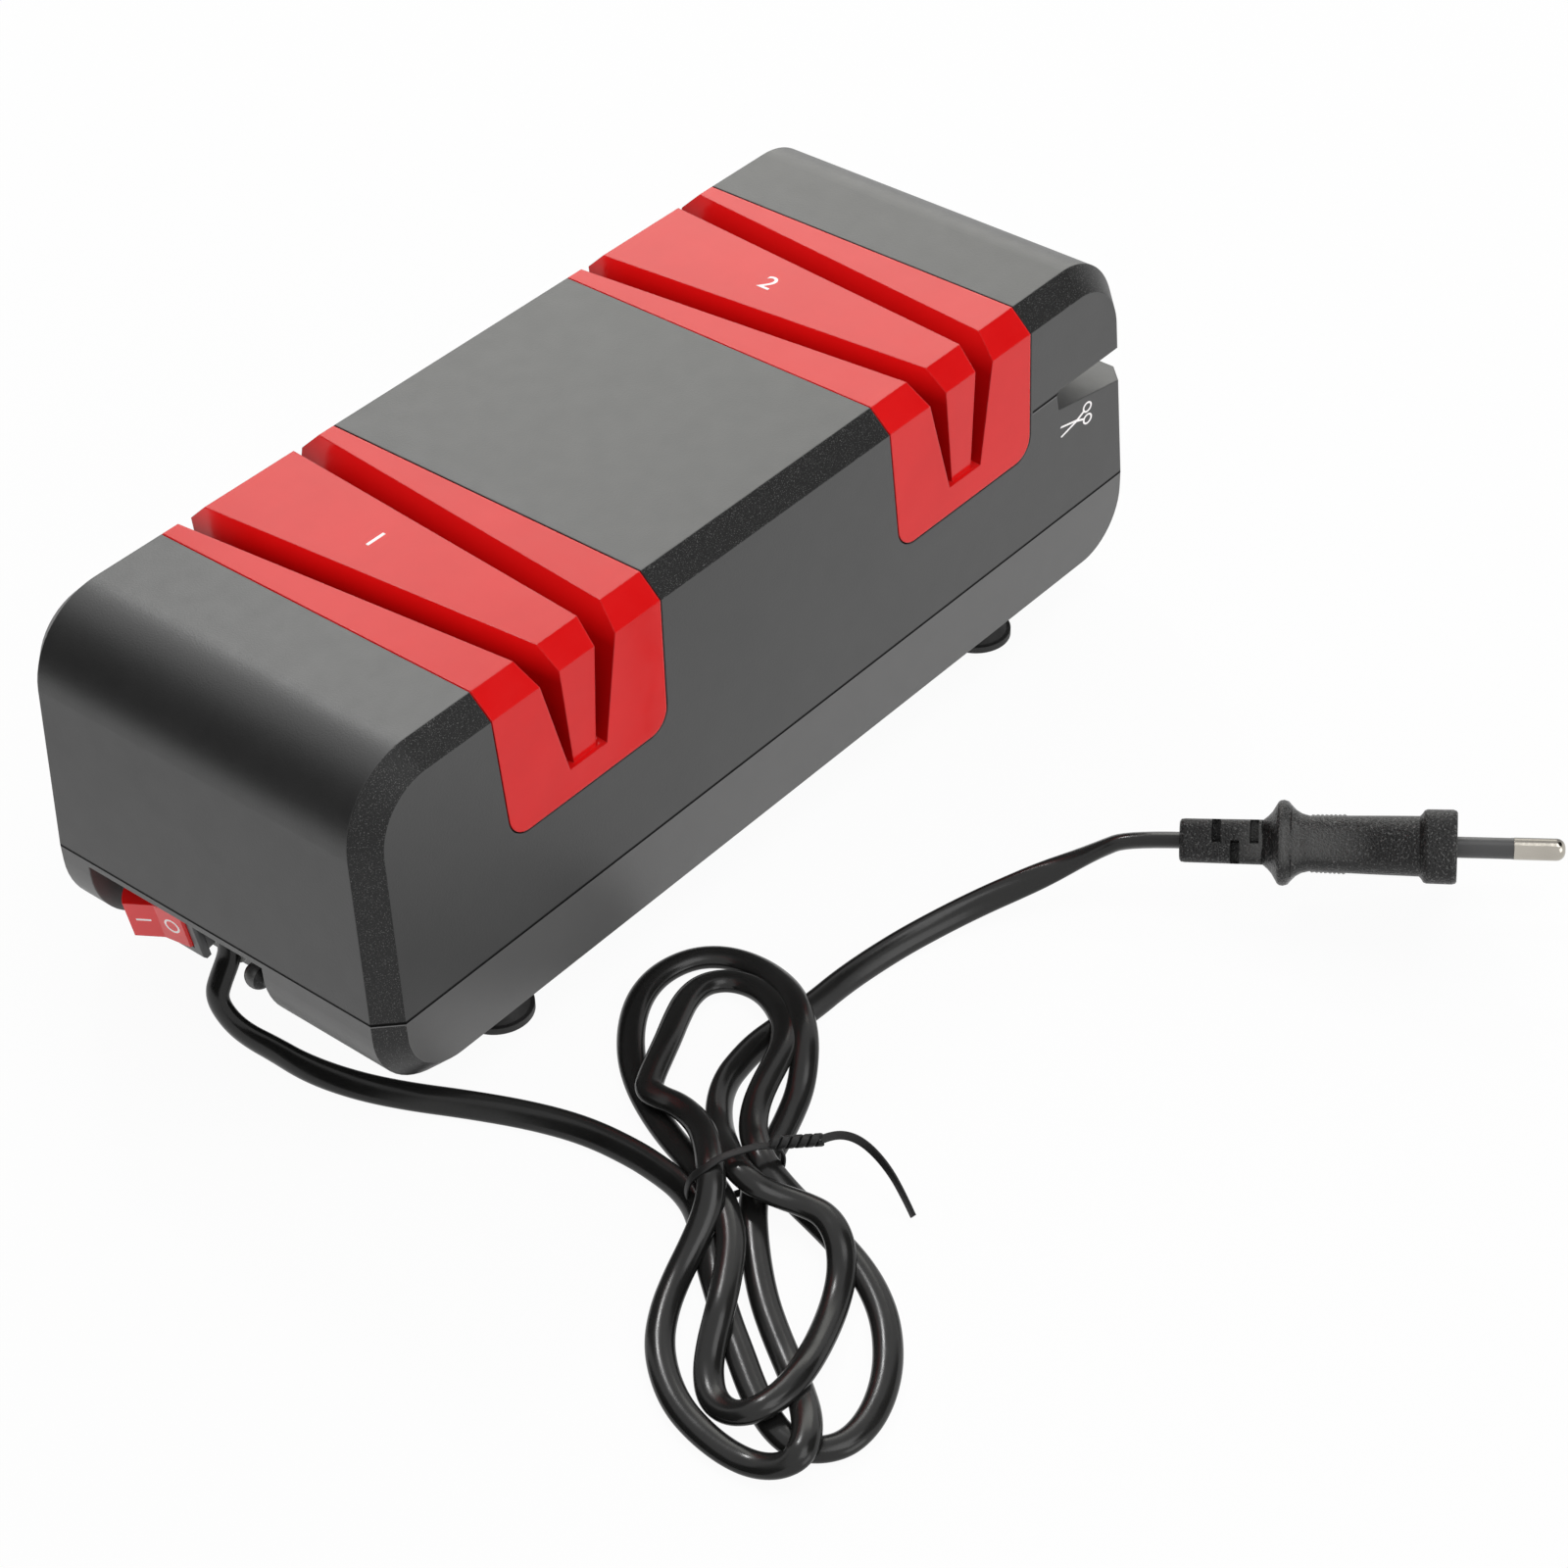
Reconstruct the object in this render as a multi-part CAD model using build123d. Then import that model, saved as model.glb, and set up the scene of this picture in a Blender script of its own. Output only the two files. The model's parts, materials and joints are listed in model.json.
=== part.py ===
from build123d import *
import math
import os

os.makedirs("parts", exist_ok=True)

# Electric knife sharpener on four rubber feet. Millimetres.
# X runs along the length: +X is the scissors end, -X the switch and cord end.
# Z is up, the ground is z = 0, and the origin is under the middle of the housing.

# housing
body_length = 215.0
body_width = 87.1
foot_height = 7.0
shell_depth = 19.8
cover_height = 50.8
cover_end_lean = 0.027
cover_side_lean = 0.0345
shell_end_lean = 0.018
shell_side_lean = 0.010
top_radius = 16.0
bottom_radius = 16.4
edge_chamfer = 4.3
wall = 2.2
parting_z = foot_height + shell_depth
top_z = parting_z + cover_height
floor_z = foot_height + wall

# guide inserts and their knife slots
stage_x = 53.3
insert_half_top = 21.3
insert_half_low = 20.1
insert_depth = 30.6
insert_corner = 4.5
insert_gap = 0.3
insert_skin = 2.2
slot_depth = 24.9
slot_wall = 1.8
tongue_half = 5.1
tongue_spread = 0.0801
tongue_lean = 0.076
guide_half = 10.9
guide_spread = 0.0887
guide_lean = 0.228
slot_ref_y = 37.6
tongue_front_y = 41.75
ledge_thick = 1.6
ledge_reach = 2.0
slot_floor_z = top_z - slot_depth
insert_low_z = top_z - insert_depth
side_top_z = top_z - edge_chamfer

# scissors slot and its cap
seam_drop = 21.9
roof_rise = 0.5
slot_back_inset = 25.0
slot_lip_drop = 3.8
slot_floor_lean = 0.163
plate_thick = 2.2
seam_z = top_z - seam_drop
roof_z = seam_z + roof_rise
slot_back_x = body_length / 2 - slot_back_inset
lip_z = seam_z - slot_lip_drop

# main shaft and what turns with it
shaft_z = 40.0
shaft_radius = 3.0
shaft_overhang = 5.5
shaft_past_nut = 1.0
fit = 0.05
grip = 0.02
disc_radius = 22.0
disc_rim_radius = 18.5
disc_inner = 3.4
disc_thick = 3.6
disc_room = 0.8
disc_side_room = 0.4
hub_radius = 6.0
hub_flange_radius = 9.5
ring_radius = 8.5
ring_thick = 1.4
scissors_wheel_radius = 12.4
wheel_set_back = 3.5
scissors_wheel_thick = 5.0
wheel_room = 0.6
spacer_radius = 4.5
nut_radius = 5.0
nut_thick = 3.0
fan_gap = 2.5
fan_thick = 5.0
fan_radius = 18.0
fan_hub_radius = 6.0
fan_plate = 1.2
fan_blades = 9
scissors_wheel_x = slot_back_x + wheel_set_back
shaft_right_x = scissors_wheel_x + scissors_wheel_thick + nut_thick + shaft_past_nut

# motor
can_radius = 21.0
can_wall = 1.5
can_left_x = -30.0
can_right_x = 27.0
cap_thick = 3.0
boss_radius = 8.5
boss_length = 3.0
core_radius = 14.2
core_left_gap = 10.0
core_right_gap = 15.0
core_slots = 7
magnet_inner = 15.0
commutator_radius = 6.0
commutator_gap = 2.0
commutator_length = 8.0
brush_length = 6.0
brush_gap = 0.1
fan_x = can_right_x + cap_thick + boss_length + fan_gap
core_left_x = can_left_x + core_left_gap
core_right_x = can_right_x - core_right_gap
commutator_left_x = core_right_x + commutator_gap
cradle_x = 20.0
cradle_thick = 4.0
cradle_half = 28.5
strap_thick = 2.5
strap_screw_y = 25.8

# outboard bearings
left_bearing_x = -72.0
right_bearing_x = 70.5
bearing_radius = 6.0
bearing_length = 6.0
post_thick = 5.0
post_half = 13.5
cap_height = 3.5
cap_boss_radius = 9.0
bearing_screw_y = 11.0
shaft_left_x = left_bearing_x - shaft_overhang

# screws
case_screw_inset = 21.5
case_screw_y = 31.0
case_column_radius = 4.5
case_boss_radius = 4.0
case_screw_radius = 1.6
case_head_radius = 3.1
case_head_height = 2.2
case_head_z = 16.0
case_screw_length = 20.0
case_boss_height = 18.0
small_screw_radius = 1.25
small_head_radius = 2.2
small_head_height = 1.8
small_screw_length = 9.0
cap_screw_set_back = 4.9
cap_screw_y = 20.0
cap_boss_height = 11.0
case_screw_x = body_length / 2 - case_screw_inset
cap_screw_x = slot_back_x - cap_screw_set_back

# feet
foot_inset = 36.5
foot_y = 31.6
foot_radius = 7.0
foot_disc = 1.4
foot_cone = 2.0
foot_neck_radius = 4.2
foot_plug_radius = 2.5
foot_head_radius = 3.5
foot_head_height = 1.8
foot_x = body_length / 2 - foot_inset

# switch recess in the end of the lower shell
recess_low_y = -12.5
recess_high_y = 32.0
recess_depth = 11.5
recess_wall = 2.0
recess_top_drop = 1.5
recess_top_z = parting_z - recess_top_drop
recess_back_x = recess_depth - body_length / 2

# rocker switch: local x runs towards -Y, local y up, local z out of the face
switch_tilt = 10.0
switch_inset = 6.9
switch_x = switch_inset - body_length / 2
switch_y = 20.2
switch_z = 17.2
bezel_length = 19.0
bezel_height = 13.4
bezel_thick = 1.5
pivot_depth = 2.0
switch_body_length = 16.4
switch_body_height = 10.6
switch_body_depth = 10.0
rocker_radius = 7.33
rocker_height = 8.8
rocker_crown = 1.44
rocker_slope = 10.2
rocker_swing = 17.7
rocker_room = 0.3
rocker_pin_radius = 1.0
rocker_pin_length = 0.7
sleeve_wall = 0.5
terminal_offset = 4.0
terminal_width = 4.8
terminal_thick = 0.8
terminal_length = 6.0

# cord, its bush and clamp
cord_radius = 2.3
cord_y = 3.2
cord_z = 18.9
cord_exit_inset = 6.1
cord_exit_x = cord_exit_inset - body_length / 2
bush_radius = 4.6
bush_neck_radius = 3.55
bush_flange_radius = 5.2
bush_flange_thick = 1.8
rib_width = 1.4
dome_y = -5.6
dome_z = 16.6
dome_radius = 2.6
dome_inset = 2.0
dome_tip_x = dome_inset - body_length / 2
clamp_set_back = 4.2
clamp_length = 6.0
cord_past_clamp = 2.0
clamp_low_x = recess_back_x + recess_wall + bush_flange_thick + clamp_set_back
clamp_high_x = clamp_low_x + clamp_length
cord_inner_x = clamp_high_x + cord_past_clamp
clamp_half = 8.5
clamp_top_z = 24.0
clamp_gap = 1.0
clamp_screw_y = 5.6
wire_radius = 0.9

# board under the motor
board_length = 30.0
board_width = 24.0
board_thick = 1.6
board_lift = 1.8
board_screw_x = 12.0
board_screw_y = 9.0
board_screw_radius = 1.0

# flat two-pin plug, standing on its edge
plug_rear = (27.73, -110.35, 14.35)
plug_axis = (0.5241, -0.85, 0.0524)
plug_wide = (0.6704, 0.3738, -0.641)
relief_length = 15.0
plug_body_length = 36.0
plug_width = 35.3
plug_thick = 13.7
pin_spacing = 18.6
pin_length = 19.0
pin_radius = 2.0
sleeve_length = 10.0
sleeve_radius = 1.9
pin_core_radius = 1.5
pin_root = 7.0


def save(name, shape):
    export_step(shape, f"parts/{name}.step")


def block(x_low, x_high, y_low, y_high, z_low, z_high):
    centre = Pos((x_low + x_high) / 2, (y_low + y_high) / 2, (z_low + z_high) / 2)
    return centre * Box(x_high - x_low, y_high - y_low, z_high - z_low)


def rod_x(radius, x_low, x_high, y=0.0, z=shaft_z):
    return Pos((x_low + x_high) / 2, y, z) * Rot(0, 90, 0) * Cylinder(radius, x_high - x_low)


def rod_z(radius, z_low, z_high, x, y):
    return Pos(x, y, (z_low + z_high) / 2) * Cylinder(radius, z_high - z_low)


def polygon(points, corners=()):
    face = make_face(Polyline(*points, close=True))
    for x, y, radius in corners:
        vertex = sorted(face.vertices(), key=lambda v: (v.X - x) ** 2 + (v.Y - y) ** 2)[0]
        face = fillet(vertex, radius)
    return face


def prism_xz(points, half_width, corners=()):
    return extrude(Plane.XZ * polygon(points, corners), half_width, both=True)


def prism_yz(points, half_length):
    return extrude(Plane.YZ * polygon(points), half_length, both=True)


def drafted_block(height, end_lean, side_lean, radius, inset, tail=0.0):
    sign = 1 if height > 0 else -1
    near = parting_z - sign * tail
    far = parting_z + height - sign * inset

    def half_x(z):
        return body_length / 2 - end_lean * sign * (z - parting_z) - inset

    def half_y(z):
        return body_width / 2 - side_lean * sign * (z - parting_z) - inset

    side = [
        (-half_x(near), near),
        (-half_x(far), far),
        (half_x(far), far),
        (half_x(near), near),
    ]
    corners = [(-half_x(far), far, radius - inset), (half_x(far), far, radius - inset)]
    across = [
        (-half_y(near), near),
        (-half_y(far), far),
        (half_y(far), far),
        (half_y(near), near),
    ]
    solid = prism_xz(side, body_width, corners) & prism_yz(across, body_length)
    sides = solid.faces().sort_by(Axis.Y)
    rim = []
    for face in (sides[0], sides[-1]):
        rim += [edge for edge in face.edges() if abs(edge.center().Z - near) > 0.5]
    return chamfer(rim, edge_chamfer - inset * (2 - math.sqrt(2)))


def cover_block(inset, tail=0.0):
    return drafted_block(cover_height, cover_end_lean, cover_side_lean, top_radius, inset, tail)


def shell_block(inset, tail=0.0):
    return drafted_block(-shell_depth, shell_end_lean, shell_side_lean, bottom_radius, inset, tail)


def insert_region(grow):
    top = top_z + 10
    low = insert_low_z - grow
    half_top = insert_half_top + grow
    half_low = insert_half_low + grow
    points = [
        (-half_low, low),
        (-half_top, side_top_z),
        (-half_top, top),
        (half_top, top),
        (half_top, side_top_z),
        (half_low, low),
    ]
    corners = [(-half_low, low, insert_corner + grow), (half_low, low, insert_corner + grow)]
    return prism_xz(points, body_width, corners)


def tongue_side(y, z):
    return tongue_half + tongue_spread * (y + slot_ref_y) - tongue_lean * (top_z - z)


def guide_side(y, z):
    return guide_half + guide_spread * (y + slot_ref_y) - guide_lean * (top_z - z)


def skewed_prism(inner, outer, low, high):
    faces = []
    for y in (-body_width / 2 - 4, body_width / 2 + 4):
        points = [
            (inner(y, low), y, low),
            (outer(y, low), y, low),
            (outer(y, high), y, high),
            (inner(y, high), y, high),
        ]
        faces.append(make_face(Polyline(*points, close=True)))
    return loft(faces, ruled=True)


def knife_slot(grow):
    return skewed_prism(
        lambda y, z: tongue_side(y, z) - grow,
        lambda y, z: guide_side(y, z) + grow,
        slot_floor_z - grow,
        top_z + 3,
    )


def tube(points, radius, bend=0.45):
    radii = []
    for i in range(1, len(points) - 1):
        before = Vector(*points[i]) - Vector(*points[i - 1])
        after = Vector(*points[i + 1]) - Vector(*points[i])
        turn = math.radians(before.get_angle(after))
        radii.append(bend * min(before.length, after.length) / math.tan(turn / 2))
    path = FilletPolyline(*points, radius=radii)
    start = Plane(origin=path @ 0, z_dir=path % 0)
    return sweep(start * Circle(radius), path=path), radii, path.length


# upper cover: drafted shell, open for the two inserts and the scissors cap
cover_outer = cover_block(0)
cover_inner = cover_block(wall, tail=1.0)
cut_end_x = body_length / 2 + 4
cap_left_x = stage_x + insert_half_top + insert_gap
slot_end_z = lip_z - slot_floor_lean * (cut_end_x - slot_back_x)
step_x = slot_back_x + 0.5
cap_cut = prism_xz(
    [
        (stage_x + 15, seam_z),
        (slot_back_x, seam_z),
        (step_x, lip_z),
        (cut_end_x, slot_end_z),
        (cut_end_x, top_z + 10),
        (stage_x + 15, top_z + 10),
    ],
    body_width,
)
end_floor = prism_xz(
    [
        (stage_x + 15, seam_z),
        (slot_back_x, seam_z),
        (step_x, lip_z),
        (cut_end_x, slot_end_z),
        (cut_end_x, slot_end_z - plate_thick),
        (slot_back_x - plate_thick, lip_z - plate_thick),
        (slot_back_x - plate_thick, seam_z - plate_thick),
        (stage_x + 15, seam_z - plate_thick),
    ],
    body_width,
)
ledge_ring = cover_block(wall) - cover_block(wall + ledge_thick, tail=1.0)
ledge_ring &= insert_region(ledge_reach + insert_gap) - insert_region(-ledge_reach)

upper_cover = cover_outer - cover_inner
upper_cover += end_floor & cover_outer
upper_cover -= cap_cut
for side in (-1, 1):
    upper_cover -= Pos(side * stage_x, 0, 0) * insert_region(insert_gap)
for side in (-1, 1):
    upper_cover += Pos(side * stage_x, 0, 0) * ledge_ring
for sx in (-1, 1):
    for sy in (-1, 1):
        x = sx * case_screw_x
        y = sy * case_screw_y
        boss_top = parting_z + case_boss_height
        upper_cover += rod_z(case_boss_radius, parting_z, boss_top, x, y)
        wall_y = body_width / 2 - wall / 2 - cover_side_lean * case_boss_height
        rib_low = min(sy * wall_y, y)
        rib_high = max(sy * wall_y, y)
        upper_cover += block(x - 1, x + 1, rib_low, rib_high, parting_z, boss_top)
        upper_cover -= rod_z(case_screw_radius + fit, parting_z - 1, boss_top - 2, x, y)
for sy in (-1, 1):
    upper_cover -= rod_z(
        small_screw_radius + fit, seam_z - plate_thick - 1, seam_z + 1, cap_screw_x, sy * cap_screw_y
    )
wheel_low_x = scissors_wheel_x - disc_side_room
wheel_high_x = scissors_wheel_x + scissors_wheel_thick + disc_side_room
upper_cover -= rod_x(scissors_wheel_radius + wheel_room, wheel_low_x, wheel_high_x)
save("upper_cover", upper_cover)

# scissors cap: hollow end piece over the slot, screwed down from below
cap_low_x = stage_x + insert_half_low + insert_gap
cap_lean = (insert_half_top - insert_half_low) / (side_top_z - insert_low_z)
cap_seam_x = cap_low_x + cap_lean * (seam_z - insert_low_z)


def cap_region(lift, shift):
    return prism_xz(
        [
            (cap_seam_x - shift, seam_z + lift),
            (slot_back_x + 0.3, seam_z + lift),
            (slot_back_x + 0.8, roof_z + lift),
            (cut_end_x, roof_z + lift),
            (cut_end_x, top_z + 10),
            (cap_left_x - shift, top_z + 10),
            (cap_left_x - shift, side_top_z),
        ],
        body_width,
    )


scissors_cap = cover_outer & cap_region(0, 0)
scissors_cap -= cover_inner & cap_region(plate_thick, 5)
scissors_cap -= Pos(stage_x, 0, 0) * ledge_ring
for sy in (-1, 1):
    y = sy * cap_screw_y
    scissors_cap += rod_z(3.2, seam_z, seam_z + cap_boss_height, cap_screw_x + 1.2, y)
    scissors_cap -= rod_z(
        small_screw_radius + fit, seam_z - 1, seam_z + cap_boss_height - 2, cap_screw_x, y
    )
save("scissors_cap", scissors_cap)

# guide inserts: U-shaped skins over the top and both sides, with two troughs each
insert_block = cover_outer & insert_region(0)
insert = insert_block - cover_block(insert_skin, tail=1.0)
trough = knife_slot(slot_wall)
slot = knife_slot(0)
tongue = skewed_prism(
    lambda y, z: -tongue_side(y, z) - 0.5,
    lambda y, z: tongue_side(y, z) + 0.5,
    slot_floor_z,
    side_top_z + 1,
)
insert += insert_block & trough
insert += insert_block & mirror(trough, Plane.YZ)
insert -= slot
insert -= mirror(slot, Plane.YZ)
for sy in (-1, 1):
    y_low = min(sy * tongue_front_y, sy * body_width)
    y_high = max(sy * tongue_front_y, sy * body_width)
    insert -= tongue & block(-stage_x, stage_x, y_low, y_high, 0, top_z)
disc_outer = disc_inner + disc_thick
window_half = disc_outer + disc_side_room
insert -= rod_x(disc_radius + disc_room, -window_half, window_half)
save("coarse_insert", Pos(-stage_x, 0, 0) * insert)
save("fine_insert", Pos(stage_x, 0, 0) * insert)

# switch frame: all switch parts are drawn about the rocker's pivot
tilt = math.radians(switch_tilt)
switch_plane = Plane(
    origin=(switch_x, switch_y, switch_z),
    x_dir=(0, -1, 0),
    z_dir=(-math.cos(tilt), 0, -math.sin(tilt)),
)
switch_at = switch_plane.location
rocker_plane = Plane.XZ
bezel_back = pivot_depth - bezel_thick
frame_back = bezel_back - switch_body_depth


def switch_box(length, height, low, high):
    return Pos(0, 0, (low + high) / 2) * Box(length, height, high - low)


def across_switch(face, half):
    return extrude(Plane.XZ * face, half, both=True)


cavity_floor = -pivot_depth - 2.5
switch_frame = switch_box(bezel_length, bezel_height, bezel_back, pivot_depth)
switch_frame = chamfer(switch_frame.faces().sort_by(Axis.Z)[-1].edges(), 0.4)
switch_frame += switch_box(switch_body_length, switch_body_height, frame_back, bezel_back)
cavity = across_switch(Circle(rocker_radius + rocker_room), rocker_height / 2 + rocker_room)
cavity_limit = switch_box(switch_body_length, bezel_height, cavity_floor, pivot_depth + 9)
switch_frame -= cavity & cavity_limit
switch_frame -= across_switch(Circle(rocker_pin_radius + fit), switch_body_height / 2)
save("switch_frame", switch_at * switch_frame)

# rocker: shallow V on top, round ends about its pivot, raised on the +Y side
crown = pivot_depth + rocker_crown
rise = rocker_radius * math.tan(math.radians(rocker_slope))
rocker_top = [
    (-rocker_radius, 0),
    (-rocker_radius, crown + rise),
    (0, crown),
    (rocker_radius, crown + rise),
    (rocker_radius, 0),
]
rocker_face = Circle(rocker_radius) & polygon(rocker_top)
rocker_face += Pos(0, -1.3) * Rectangle(5.0, 3.4)
rocker = across_switch(rocker_face, rocker_height / 2)
rocker += across_switch(Circle(rocker_pin_radius), rocker_height / 2 + rocker_pin_length)
save("switch_rocker", switch_at * Rot(0, rocker_swing, 0) * rocker)

terminals = []
for sx in (-1, 1):
    low = frame_back - terminal_length
    tab = switch_box(terminal_thick, terminal_width, low, frame_back)
    terminals.append(switch_at * Pos(sx * terminal_offset, 0, 0) * tab)
save("switch_terminals", Compound(children=terminals))

# lower shell: floor, walls, switch recess, posts and columns
shell_outer = shell_block(0)
shell_inner = shell_block(wall, tail=1.0)
lower_shell = shell_outer - shell_inner
recess_block = block(
    -body_length,
    recess_back_x + recess_wall,
    recess_low_y - recess_wall,
    recess_high_y + recess_wall,
    0,
    parting_z,
)
lower_shell += recess_block & shell_outer
lower_shell -= block(
    -body_length, recess_back_x, recess_low_y, recess_high_y, 0, recess_top_z
)
sleeve_back = -(recess_wall + abs(recess_back_x - switch_x)) - 1.4
lower_shell += switch_at * switch_box(
    switch_body_length + 2 * (fit + sleeve_wall),
    switch_body_height + 2 * (fit + sleeve_wall),
    sleeve_back,
    bezel_back,
)
lower_shell -= switch_at * switch_box(
    switch_body_length + 2 * fit, switch_body_height + 2 * fit, frame_back - 2, pivot_depth + 2
)
dome_flat_x = dome_tip_x + dome_radius
lower_shell += rod_x(dome_radius, dome_flat_x, recess_back_x + 1, dome_y, dome_z)
lower_shell += Pos(dome_flat_x, dome_y, dome_z) * Sphere(dome_radius)
lower_shell -= rod_x(
    bush_neck_radius + fit, recess_back_x - 1, recess_back_x + recess_wall + 1, cord_y, cord_z
)

root_z = floor_z - 1.0
for sx in (-1, 1):
    for sy in (-1, 1):
        x = sx * case_screw_x
        y = sy * case_screw_y
        lower_shell += rod_z(case_column_radius, root_z, parting_z, x, y)
        lower_shell -= rod_z(case_head_radius + 0.3, 0, case_head_z, x, y)
        lower_shell -= rod_z(case_screw_radius + 0.2, case_head_z - 1, parting_z + 1, x, y)
        lower_shell -= rod_z(foot_plug_radius + fit, 0, floor_z + 1, sx * foot_x, sy * foot_y)

for x in (left_bearing_x, right_bearing_x):
    half = post_thick / 2
    post = block(x - half, x + half, -post_half, post_half, root_z, shaft_z)
    post -= rod_x(bearing_radius + fit, x - half - 1, x + half + 1)
    for sy in (-1, 1):
        y = sy * bearing_screw_y
        post -= rod_z(small_screw_radius + fit, shaft_z - small_screw_length, shaft_z + 1, x, y)
    lower_shell += post

for sx in (-1, 1):
    x = sx * cradle_x
    half = cradle_thick / 2
    cradle = block(x - half, x + half, -cradle_half, cradle_half, root_z, shaft_z)
    cradle -= rod_x(can_radius + fit, x - half - 1, x + half + 1)
    cradle -= block(x - half - 1, x + half + 1, -9, 9, floor_z, shaft_z - can_radius - 2)
    for sy in (-1, 1):
        y = sy * strap_screw_y
        cradle -= rod_z(small_screw_radius + fit, shaft_z - small_screw_length, shaft_z + 1, x, y)
    lower_shell += cradle

clamp_mid_x = (clamp_low_x + clamp_high_x) / 2
clamp_base = block(
    clamp_low_x,
    clamp_high_x,
    cord_y - clamp_half,
    cord_y + clamp_half,
    root_z,
    cord_z - clamp_gap / 2,
)
clamp_base -= rod_x(cord_radius + fit, clamp_low_x - 1, clamp_high_x + 1, cord_y, cord_z)
for sy in (-1, 1):
    y = cord_y + sy * clamp_screw_y
    clamp_base -= rod_z(
        small_screw_radius + fit, clamp_top_z - small_screw_length - 1, cord_z + 1, clamp_mid_x, y
    )
lower_shell += clamp_base

board_z = floor_z + board_lift
for sx in (-1, 1):
    for sy in (-1, 1):
        x = sx * board_screw_x
        y = sy * board_screw_y
        lower_shell += rod_z(2.2, root_z, board_z, x, y)
        lower_shell -= rod_z(board_screw_radius + fit, root_z, board_z + 1, x, y)
vent_set_back = 5.5
vent_x = fan_x - vent_set_back
vent_pitch = 5.0
vent_width = 2.4
for i in range(5):
    x = vent_x + i * vent_pitch
    lower_shell -= block(x, x + vent_width, -12, 12, 0, floor_z + 1)
save("lower_shell", lower_shell)

# feet: suction discs on a neck, plugged through the floor
rim_z = foot_disc
neck_z = foot_disc + foot_cone
foot = Pos(0, 0, rim_z / 2) * Cylinder(foot_radius, rim_z)
foot += Pos(0, 0, rim_z + foot_cone / 2) * Cone(foot_radius - 0.8, foot_neck_radius, foot_cone)
foot += rod_z(foot_neck_radius, neck_z, foot_height, 0, 0)
foot += rod_z(foot_plug_radius, foot_height, floor_z, 0, 0)
foot += rod_z(foot_head_radius, floor_z, floor_z + foot_head_height, 0, 0)
foot -= Pos(0, 0, 0) * Cone(foot_radius - 1.6, foot_radius - 4.5, 1.6)
foot_number = 0
for sx in (-1, 1):
    for sy in (-1, 1):
        foot_number += 1
        save(f"foot_{foot_number}", Pos(sx * foot_x, sy * foot_y, 0) * foot)

# screws
case_screw = rod_z(case_head_radius, case_head_z - case_head_height, case_head_z, 0, 0)
case_screw += rod_z(case_screw_radius, case_head_z, case_head_z + case_screw_length, 0, 0)
case_screws = []
for sx in (-1, 1):
    for sy in (-1, 1):
        case_screws.append(Pos(sx * case_screw_x, sy * case_screw_y, 0) * case_screw)
save("case_screws", Compound(children=case_screws))


def small_screw(seat_z, direction, length=small_screw_length):
    head = rod_z(small_head_radius, 0, small_head_height, 0, 0)
    head += rod_z(small_screw_radius, -length, 0, 0, 0)
    if direction < 0:
        head = Rot(180, 0, 0) * head
    return Pos(0, 0, seat_z) * head


cap_screws = []
for sy in (-1, 1):
    screw = small_screw(seam_z - plate_thick, -1)
    cap_screws.append(Pos(cap_screw_x, sy * cap_screw_y, 0) * screw)
save("cap_screws", Compound(children=cap_screws))

# shaft and stages
save("main_shaft", rod_x(shaft_radius, shaft_left_x, shaft_right_x))

hub_half = disc_outer + ring_thick + 0.2
hub = rod_x(hub_radius, -hub_half, hub_half)
hub += rod_x(hub_flange_radius, -disc_inner, disc_inner)
hub -= rod_x(shaft_radius + grip, -hub_half - 1, hub_half + 1)
hub -= rod_z(1.5, shaft_z, shaft_z + 20, 0, 0)
disc = Pos(disc_inner + disc_thick / 2, 0, shaft_z) * Rot(0, 90, 0)
disc *= Cone(disc_radius, disc_rim_radius, disc_thick)
disc -= rod_x(hub_radius + grip, disc_inner - 1, disc_outer + 1)
ring = rod_x(ring_radius, disc_outer, disc_outer + ring_thick)
ring -= rod_x(hub_radius + grip, disc_outer - 1, disc_outer + ring_thick + 1)
grub = rod_z(1.5 - fit, shaft_z + shaft_radius, shaft_z + hub_flange_radius - 0.8, 0, 0)
rings = []
grubs = []
for name, x in (("coarse", -stage_x), ("fine", stage_x)):
    save(f"{name}_hub", Pos(x, 0, 0) * hub)
    save(f"{name}_disc_inner", Pos(x, 0, 0) * (disc if x < 0 else mirror(disc, Plane.YZ)))
    save(f"{name}_disc_outer", Pos(x, 0, 0) * (mirror(disc, Plane.YZ) if x < 0 else disc))
    rings += [Pos(x, 0, 0) * ring, Pos(x, 0, 0) * mirror(ring, Plane.YZ)]
    grubs.append(Pos(x, 0, 0) * grub)
save("disc_rings", Compound(children=rings))
save("grub_screws", Compound(children=grubs))

wheel_end_x = scissors_wheel_x + scissors_wheel_thick
wheel = rod_x(scissors_wheel_radius, scissors_wheel_x, wheel_end_x)
wheel = chamfer(wheel.edges().filter_by(GeomType.CIRCLE), 0.8)
wheel -= rod_x(shaft_radius + grip, scissors_wheel_x - 1, wheel_end_x + 1)
save("scissors_wheel", wheel)
spacer_x = right_bearing_x + bearing_length / 2 + 0.3
spacer = rod_x(spacer_radius, spacer_x, scissors_wheel_x)
spacer -= rod_x(shaft_radius + grip, spacer_x - 1, scissors_wheel_x + 1)
save("wheel_spacer", spacer)
nut_face = Plane.YZ.offset(wheel_end_x) * Pos(0, shaft_z) * RegularPolygon(nut_radius, 6)
nut = extrude(nut_face, nut_thick)
nut -= rod_x(shaft_radius + grip, wheel_end_x - 1, wheel_end_x + nut_thick + 1)
save("wheel_nut", nut)

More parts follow.
